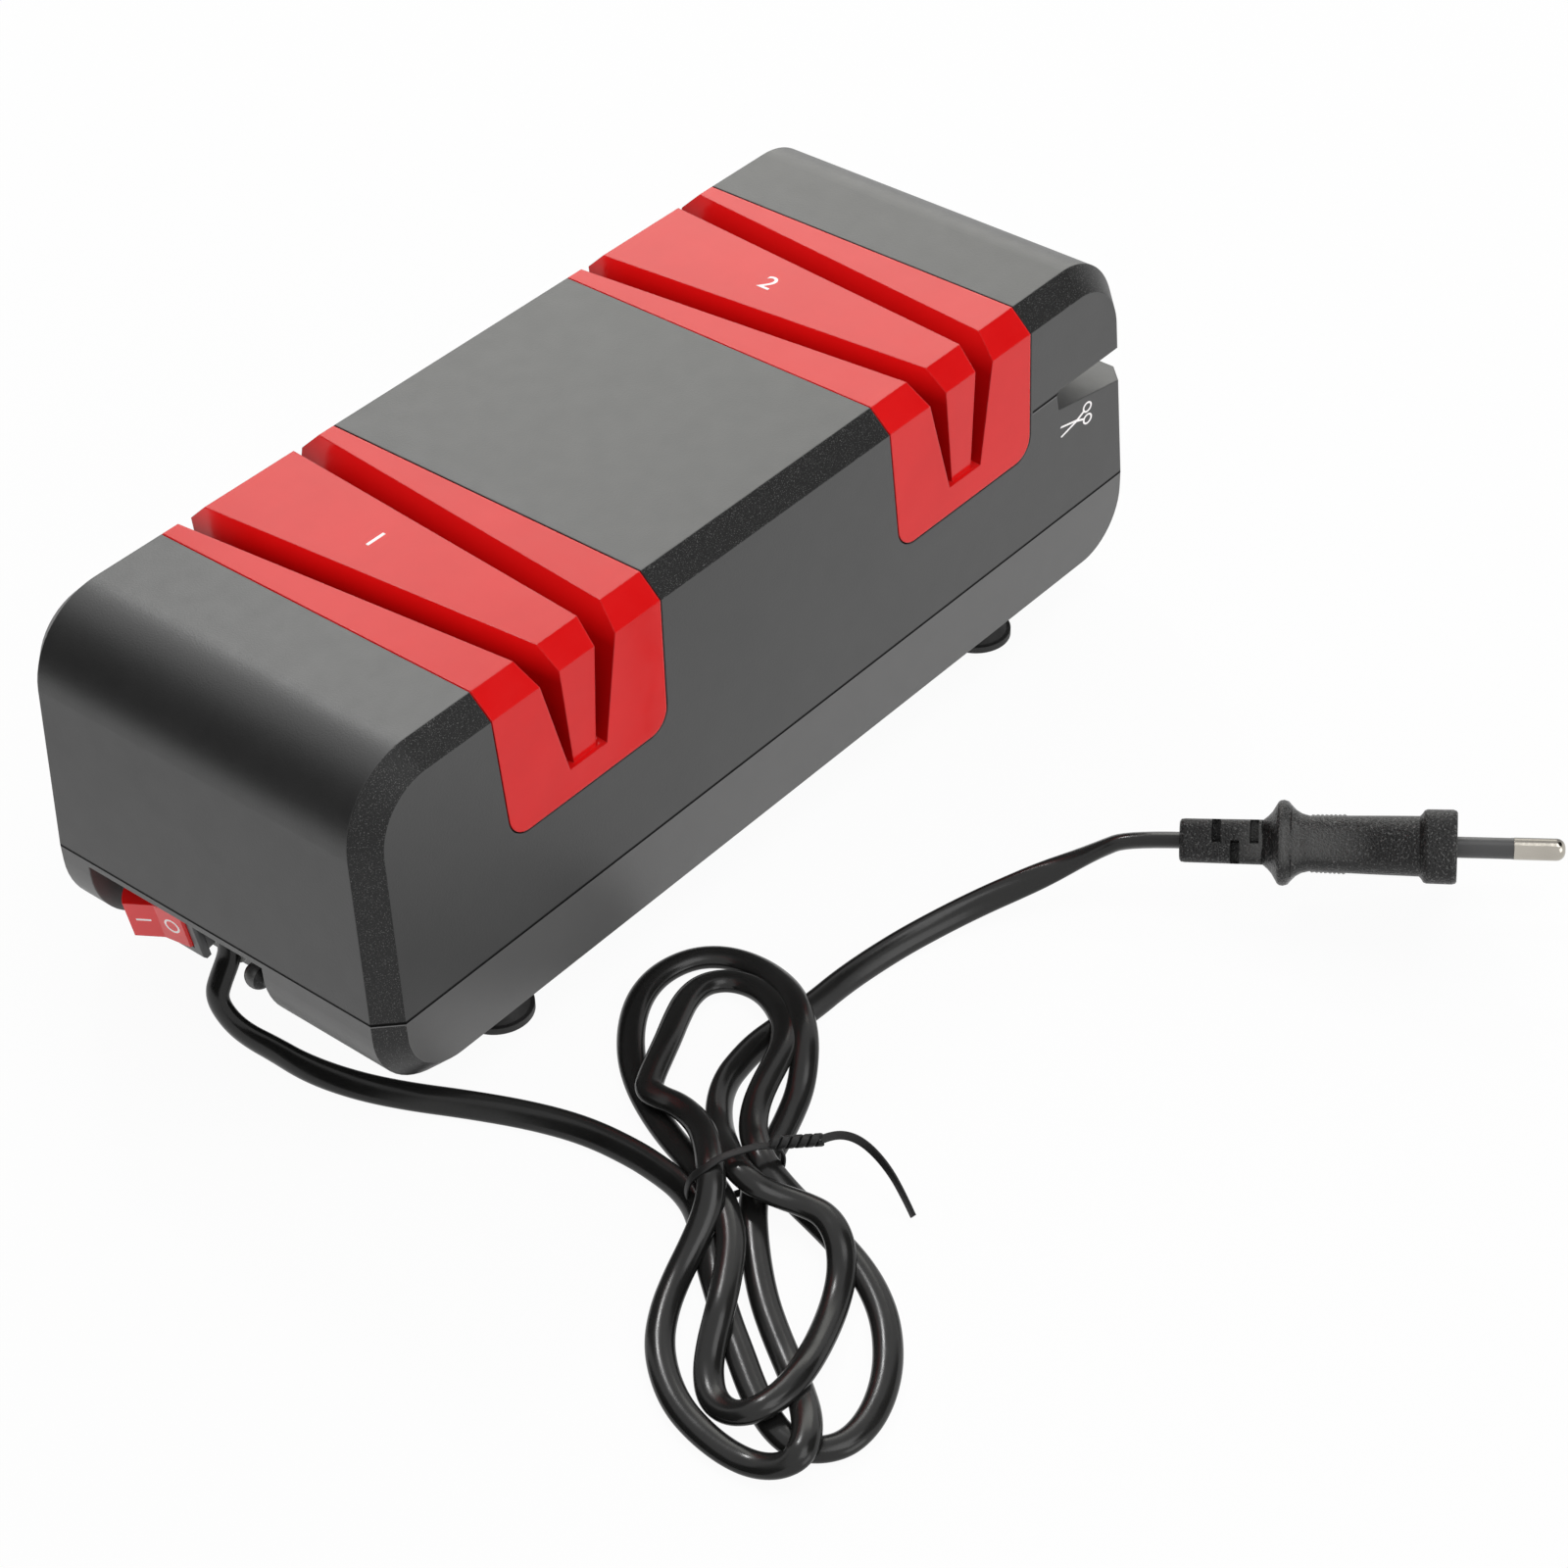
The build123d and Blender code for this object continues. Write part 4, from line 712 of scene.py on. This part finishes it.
def makeFinish(name, look):
    material = bpy.data.materials.new(name)
    material.use_nodes = True
    tree = material.node_tree
    shader = tree.nodes["Principled BSDF"]
    place = coordinate(tree, "Object")
    if look.get("stretch"):
        place = addNode(tree, "ShaderNodeMapping", Vector=place, Scale=look["stretch"]).outputs[0]
    patches = noiseOf(tree, place, look.get("patch", patchSet["scale"]), 3)
    patches = spread(tree, patches, *patchSet["blend"], 0, 1)
    tone = mixTones(tree, patches, look["dark"], look["light"])
    shine = look.get("shine", patchSet["shine"])
    # painted highlight and painted shade by the way a face turns
    if look.get("paintedLight"):
        tone = addPaintedLight(tree, tone, look["paintedLight"])
    if look.get("fleck"):
        tone = addFlecks(tree, place, tone, look["fleck"])
    if look.get("chamfer"):
        tone, shine = addLower(tree, tone, shine, look["lower"])
        tone, shine = addChamfer(tree, place, tone, shine, look["chamfer"])
        tone, shine = addSeamsAndPaintedHighlights(tree, tone, shine, look["seamsAndPaintedHighlights"])
    # painted shade and painted glow on the slot walls
    if look.get("walls"):
        tone = addPaintedWallLight(tree, shader, tone, look["walls"])
    rough = spread(tree, noiseOf(tree, place, patchSet["roughScale"], 2), *patchSet["roughBlend"], *look["rough"])
    grain = noiseOf(tree, place, look["grain"], 2, 0.6)
    bump = addNode(tree, "ShaderNodeBump", Height=grain, Distance=look["depth"] * mm)
    if look.get("edge"):
        bevel = addNode(tree, "ShaderNodeBevel", {"samples": 4}, Radius=look["edge"] * mm)
        feed(tree, bump.inputs["Normal"], bevel.outputs[0])
    feed(tree, shader.inputs["Base Color"], tone)
    feed(tree, shader.inputs["Specular IOR Level"], shine)
    feed(tree, shader.inputs["Roughness"], rough)
    feed(tree, shader.inputs["Metallic"], look.get("metal", 0))
    feed(tree, shader.inputs["Normal"], bump.outputs[0])
    if look.get("glow"):
        shader.inputs["Subsurface Weight"].default_value = look["glow"]
        shader.inputs["Subsurface Radius"].default_value = look["glowReach"]
        shader.inputs["Subsurface Scale"].default_value = 1.0
    # painted glow: light given off by a part that is no lamp
    if look.get("lit"):
        tint, strength = look["lit"]
        feed(tree, shader.inputs["Emission Color"], tint)
        feed(tree, shader.inputs["Emission Strength"], strength)
    return material


# finishes: each varies from its dark to its light tone, grain and depth make its surface.
# depth and edge are in millimetres, the scales of grain, patch and fleck count per metre
finishSet = {
    "blackHousing": {
        "dark": (0.029, 0.029, 0.029), "light": (0.032, 0.032, 0.032), "rough": (0.42, 0.45),
        "grain": 2600, "depth": 0.03, "edge": 0.5, "shine": 0.75,
        "lower": {"top": 26.8, "blend": 0.1, "tone": (0.074, 0.074, 0.073), "shine": 1.0},
        "chamfer": {
            "ground": (0.006, 0.006, 0.006), "pale": (0.11, 0.11, 0.108), "shine": 0.34, "scale": 5000,
            "sparse": (0.6, 0.7), "fromTop": (0.38, 0.44), "untilSide": (0.88, 0.93),
        },
        "seamsAndPaintedHighlights": [
            {"height": 26.8, "half": 0.3, "from": -200, "tone": (0.002, 0.002, 0.002), "shine": 0.04},
            # painted highlight line along the lip under the lower joint
            {"height": 26.35, "half": 0.12, "from": -200, "tone": (0.09, 0.09, 0.09), "shine": 1.0},
            {"height": 55.7, "half": 0.28, "from": 74.6, "tone": (0.002, 0.002, 0.002), "shine": 0.04},
            # painted highlight line along the lip under the upper joint
            {"height": 55.28, "half": 0.12, "from": 74.6, "tone": (0.09, 0.09, 0.09), "shine": 1.0},
        ],
    },
    "redGuides": {
        "dark": (0.79, 0.008, 0.009), "light": (0.83, 0.011, 0.012), "rough": (0.14, 0.22),
        "grain": 260, "depth": 0.012, "edge": 0.35, "shine": 0.28,
        # painted shade low on the slot walls, and a painted glow near their top edge
        "walls": {
            "steep": (0.55, 0.7), "low": 70.5, "high": 77.6, "dark": (0.55, 0.0035, 0.0045),
            "glow": (1, 0.012, 0.012), "strength": 0.26,
        },
    },
    "switchBlack": {
        "dark": (0.06, 0.06, 0.062), "light": (0.08, 0.08, 0.082), "rough": (0.25, 0.35),
        "grain": 900, "depth": 0.01, "edge": 0.3,
    },
    "redRocker": {
        "dark": (0.72, 0.004, 0.004), "light": (0.8, 0.01, 0.01), "rough": (0.12, 0.2),
        "grain": 600, "depth": 0.006, "edge": 0.25, "shine": 0.35,
        # painted highlight: a lighter, pinker tone on the rocker's faces turned away from the housing
        "paintedLight": {"along": (-0.985, 0, -0.174), "between": (0.72, 0.8), "tone": (0.86, 0.085, 0.09)},
        "glow": 0.25, "glowReach": (0.003, 0.0006, 0.0006),
        # painted glow: the rocker gives off a little red light though nothing in it is lit
        "lit": ((1.0, 0.02, 0.02), 0.13),
    },
    "footRubber": {
        "dark": (0.02, 0.02, 0.02), "light": (0.032, 0.032, 0.032), "rough": (0.6, 0.75),
        "grain": 1600, "depth": 0.05, "edge": 0.3,
    },
    "bushRubber": {
        "dark": (0.33, 0.33, 0.32), "light": (0.42, 0.42, 0.41), "rough": (0.3, 0.42),
        "grain": 1200, "depth": 0.02, "edge": 0.2,
    },
    "cordBlack": {
        "dark": (0.012, 0.012, 0.0116), "light": (0.016, 0.016, 0.0155), "rough": (0.18, 0.24),
        "grain": 420, "depth": 0.012, "shine": 0.33,
    },
    "tieBlack": {
        "dark": (0.01, 0.01, 0.01), "light": (0.018, 0.018, 0.018), "rough": (0.4, 0.5),
        "grain": 1500, "depth": 0.03, "shine": 0.3,
    },
    "plugBlack": {
        "dark": (0.005, 0.005, 0.005), "light": (0.008, 0.008, 0.0078), "rough": (0.3, 0.38),
        "grain": 2400, "depth": 0.3, "edge": 0.25, "shine": 0.36,
        # painted sheen: a light tone round one spot on the grip's narrow side, fading towards the collar
        "paintedLight": {
            "along": (-0.6704, -0.3738, 0.641), "between": (0.84, 1.0), "tone": (0.2, 0.2, 0.196),
            "spot": (42.0, -133.5, 15.8), "reach": (7, 17),
        },
        "fleck": {"scale": 2600, "sparse": (0.57, 0.72), "tone": (0.12, 0.12, 0.118)},
    },
    "pinNickel": {
        "dark": (0.4, 0.375, 0.33), "light": (0.5, 0.47, 0.42), "rough": (0.12, 0.2),
        "grain": 900, "depth": 0.01, "edge": 0.2, "metal": 1,
        # painted shade: a darker tone on the pin faces turned up and back
        "paintedLight": {"along": (0.5253, 0.371, 0.7657), "between": (0.4, 0.85), "tone": (0.15, 0.14, 0.125)},
    },
    "sleeveBlack": {
        "dark": (0.05, 0.05, 0.051), "light": (0.07, 0.07, 0.071), "rough": (0.3, 0.4),
        "grain": 900, "depth": 0.02,
    },
    "steel": {
        "dark": (0.44, 0.44, 0.45), "light": (0.6, 0.6, 0.61), "rough": (0.22, 0.36),
        "grain": 1800, "depth": 0.01, "edge": 0.2, "stretch": (0.2, 1, 1), "metal": 1,
    },
    "motorSteel": {
        "dark": (0.4, 0.41, 0.42), "light": (0.55, 0.56, 0.57), "rough": (0.3, 0.46),
        "grain": 700, "depth": 0.02, "edge": 0.3, "patch": 140, "metal": 1,
    },
    "magnetGrey": {
        "dark": (0.06, 0.06, 0.065), "light": (0.1, 0.1, 0.105), "rough": (0.55, 0.7),
        "grain": 1600, "depth": 0.04,
    },
    "discStone": {
        "dark": (0.5, 0.44, 0.4), "light": (0.66, 0.6, 0.54), "rough": (0.8, 0.92),
        "grain": 2400, "depth": 0.12, "patch": 300,
        "fleck": {"scale": 2600, "sparse": (0.6, 0.66), "tone": (0.9, 0.88, 0.84)},
    },
    "wheelStone": {
        "dark": (0.66, 0.64, 0.6), "light": (0.8, 0.78, 0.74), "rough": (0.75, 0.9),
        "grain": 2600, "depth": 0.08, "patch": 300,
        "fleck": {"scale": 2600, "sparse": (0.62, 0.68), "tone": (0.4, 0.38, 0.35)},
    },
    "bronze": {
        "dark": (0.46, 0.3, 0.14), "light": (0.62, 0.42, 0.2), "rough": (0.32, 0.46),
        "grain": 2200, "depth": 0.03, "patch": 260, "metal": 1,
    },
    "copper": {
        "dark": (0.6, 0.3, 0.16), "light": (0.76, 0.44, 0.26), "rough": (0.2, 0.34),
        "grain": 1500, "depth": 0.01, "stretch": (1, 0.3, 0.3), "metal": 1,
    },
    "carbonBlack": {
        "dark": (0.02, 0.02, 0.02), "light": (0.04, 0.04, 0.042), "rough": (0.5, 0.65),
        "grain": 1200, "depth": 0.03,
    },
    "whitePlastic": {
        "dark": (0.72, 0.72, 0.7), "light": (0.8, 0.8, 0.78), "rough": (0.35, 0.45),
        "grain": 1200, "depth": 0.02, "edge": 0.3,
    },
    "fanPlastic": {
        "dark": (0.6, 0.59, 0.54), "light": (0.7, 0.69, 0.63), "rough": (0.38, 0.5),
        "grain": 1200, "depth": 0.02, "edge": 0.2,
    },
    "boardGreen": {
        "dark": (0.03, 0.16, 0.06), "light": (0.05, 0.22, 0.09), "rough": (0.3, 0.42),
        "grain": 1800, "depth": 0.02,
        "fleck": {"scale": 700, "sparse": (0.62, 0.66), "tone": (0.12, 0.34, 0.16)},
    },
    "brownWire": {
        "dark": (0.2, 0.08, 0.03), "light": (0.28, 0.12, 0.05), "rough": (0.35, 0.45),
        "grain": 900, "depth": 0.02,
    },
    "blueWire": {
        "dark": (0.03, 0.11, 0.38), "light": (0.05, 0.16, 0.48), "rough": (0.35, 0.45),
        "grain": 900, "depth": 0.02,
    },
    "ringRubber": {
        "dark": (0.03, 0.03, 0.03), "light": (0.05, 0.05, 0.05), "rough": (0.6, 0.75),
        "grain": 1400, "depth": 0.04,
    },
    "printWhite": {
        "dark": (0.84, 0.82, 0.82), "light": (0.9, 0.88, 0.88), "rough": (0.4, 0.5),
        "grain": 1500, "depth": 0.01,
        # painted glow: the print gives off a little light so that it reads whiter
        "lit": ((1.0, 0.96, 0.96), 0.25),
    },
}
finishes = {name: makeFinish(name, look) for name, look in finishSet.items()}

slotFinish = {
    "black_housing": "blackHousing", "red_guides": "redGuides", "switch_black": "switchBlack",
    "red_rocker": "redRocker", "foot_rubber": "footRubber", "bush_rubber": "bushRubber",
    "cord_black": "cordBlack", "tie_black": "tieBlack", "plug_black": "plugBlack",
    "pin_nickel": "pinNickel", "sleeve_black": "sleeveBlack", "steel": "steel",
    "motor_steel": "motorSteel", "magnet": "magnetGrey", "stone": "discStone",
    "wheel_stone": "wheelStone", "bronze": "bronze", "copper": "copper",
    "carbon": "carbonBlack", "white_plastic": "whitePlastic", "fan_plastic": "fanPlastic",
    "board_green": "boardGreen", "brown_wire": "brownWire", "blue_wire": "blueWire",
    "ring_rubber": "ringRubber",
}


def dress(piece, finish):
    slots = piece.material_slots
    if len(slots):
        for slot in slots:
            slot.material = finishes[finish]
    else:
        piece.data.materials.append(finishes[finish])


for part in frame["record"]["subparts"]:
    dress(cadNodes[part["node"]], slotFinish[part["material_slot"]])
print("finishes made")

# every new piece rides on its body and takes the finish of its slot, and printed marks take the print finish
printed = [scissorsMark, *numbers, *switchMarks]
for piece, body, slot in (
    [(cord, "housing", "cord_black"), (plug, "housing", "plug_black"), (scissorsMark, "housing", "black_housing")]
    + [(piece, "housing", "tie_black") for piece in tiePieces]
    + [(number, "housing", "red_guides") for number in numbers]
    + [(mark, "rocker", "red_rocker") for mark in switchMarks]
):
    dress(piece, "printWhite" if piece in printed else slotFinish[slot])
    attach(piece, body)
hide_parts("cord_lead_in", "cord_bundle", "cord_lead_out")
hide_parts("plug_body")
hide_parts("twist_tie")
print("pieces ride on their bodies")

# studio, in metres: pale floor, white surroundings, four square lamps,
# and two dark cards that only show where the part reflects them
studioSet = {
    "surround": 0.52,
    "floorHalf": 3.0,
    "floorTop": -0.00002,
    "floorTone": (0.95, 0.95, 0.95),
    "floorWhite": 0.95,
    "cardTone": (0.01, 0.01, 0.01),
    "matteRough": 0.9,
    "matteShine": 0.1,
    "foldedCard": {
        "from": (-0.107, 0.0), "toward": (-0.78, 0.62), "near": 0.25, "far": 0.62, "half": 0.6,
        "low": 0.0005, "high": 0.85,
    },
    "overCard": {"at": (0.62, -0.4, 0.72), "half": 0.36},
    "lampsAway": 1.6,
    "lamps": {
        "broadLamp": {"from": (0.71, 0.55, 0.45), "size": 0.9, "radiance": 2.05, "tint": (1.0, 1.0, 0.93)},
        "sideFill": {"from": (0.1, -0.93, 0.35), "size": 0.9, "radiance": 1.75},
        "topFill": {"from": (0.2, -0.3, 0.93), "size": 0.9, "radiance": 2.4},
        "smallLamp": {"from": (0.35, 0.55, 0.76), "size": 0.16, "radiance": 40},
    },
}
square = ((-1, -1), (1, -1), (1, 1), (-1, 1))


def seenDirectly(tree):
    # 1 for camera, glossy and transmission rays
    path = addNode(tree, "ShaderNodeLightPath").outputs
    first = combine(tree, "MAXIMUM", path["Is Camera Ray"], path["Is Glossy Ray"])
    return combine(tree, "MAXIMUM", first, path["Is Transmission Ray"])


def mixShaders(tree, share, first, second, surface):
    node = addNode(tree, "ShaderNodeMixShader")
    for socket, value in zip(node.inputs, (share, first, second)):
        tree.links.new(value, socket)
    tree.links.new(node.outputs[0], surface)


def makeSurroundings(look):
    world = bpy.data.worlds.new("studio")
    world.use_nodes = True
    bpy.context.scene.world = world
    tree = world.node_tree
    soft, white = tree.nodes["Background"], addNode(tree, "ShaderNodeBackground")
    for background, strength in ((soft, look["surround"]), (white, 1)):
        background.inputs["Color"].default_value = (1, 1, 1, 1)
        background.inputs["Strength"].default_value = strength
    surface = tree.nodes["World Output"].inputs["Surface"]
    mixShaders(tree, seenDirectly(tree), soft.outputs[0], white.outputs[0], surface)


def matteFinish(name, tone, look):
    material = bpy.data.materials.new(name)
    material.use_nodes = True
    shader = material.node_tree.nodes["Principled BSDF"]
    shader.inputs["Base Color"].default_value = (*tone, 1)
    shader.inputs["Roughness"].default_value = look["matteRough"]
    shader.inputs["Specular IOR Level"].default_value = look["matteShine"]
    return material, shader


def makeFloor(look):
    form = bmesh.new()
    half, top = look["floorHalf"] / mm, look["floorTop"] / mm
    form.faces.new([form.verts.new((x * half, y * half, top)) for x, y in square])
    floor = meshPiece("floor", form)
    material, shader = matteFinish("paleFloor", look["floorTone"], look)
    tree = material.node_tree
    glow = addNode(tree, "ShaderNodeEmission", Strength=1)
    share = combine(tree, "MULTIPLY", seenDirectly(tree), look["floorWhite"])
    surface = tree.nodes["Material Output"].inputs["Surface"]
    mixShaders(tree, share, shader.outputs[0], glow.outputs[0], surface)
    floor.data.materials.append(material)


def makeCards(look):
    form = bmesh.new()
    # beyond the switch end, flat on the floor and then upright
    spot = look["foldedCard"]
    toward = Vector((*spot["toward"], 0)).normalized()
    across = Vector((-toward.y, toward.x, 0)) * spot["half"]
    rows = []
    for away, height in ((spot["near"], spot["low"]), (spot["far"], spot["low"]), (spot["far"], spot["high"])):
        middle = Vector((*spot["from"], height)) + toward * away
        rows.append([form.verts.new((middle + across * side) / mm) for side in (-1, 1)])
    for first, second in zip(rows, rows[1:]):
        form.faces.new((first[0], first[1], second[1], second[0]))
    # above the near side, square to the line from the part
    spot = look["overCard"]
    middle = Vector(spot["at"])
    sideways = middle.cross(Vector((0, 0, 1))).normalized() * spot["half"]
    upward = sideways.cross(middle).normalized() * spot["half"]
    corners = [middle + sideways * a + upward * b for a, b in square]
    form.faces.new([form.verts.new(corner / mm) for corner in corners])
    card = meshPiece("shadeCard", form)
    card.visible_camera = False
    card.visible_shadow = False
    material, _ = matteFinish("cardBlack", look["cardTone"], look)
    card.data.materials.append(material)


def makeLamps(look):
    for name, lamp in look["lamps"].items():
        data = bpy.data.lights.new(name, "AREA")
        data.shape = "SQUARE"
        data.size = lamp["size"]
        data.energy = lamp["radiance"] * math.pi * lamp["size"] ** 2
        data.color = lamp.get("tint", (1, 1, 1))
        light = bpy.data.objects.new(name, data)
        direction = Vector(lamp["from"]).normalized()
        light.location = direction * look["lampsAway"]
        light.rotation_euler = direction.to_track_quat("Z", "Y").to_euler()
        bpy.context.scene.collection.objects.link(light)


makeSurroundings(studioSet)
makeFloor(studioSet)
makeCards(studioSet)
makeLamps(studioSet)
print("studio lit")
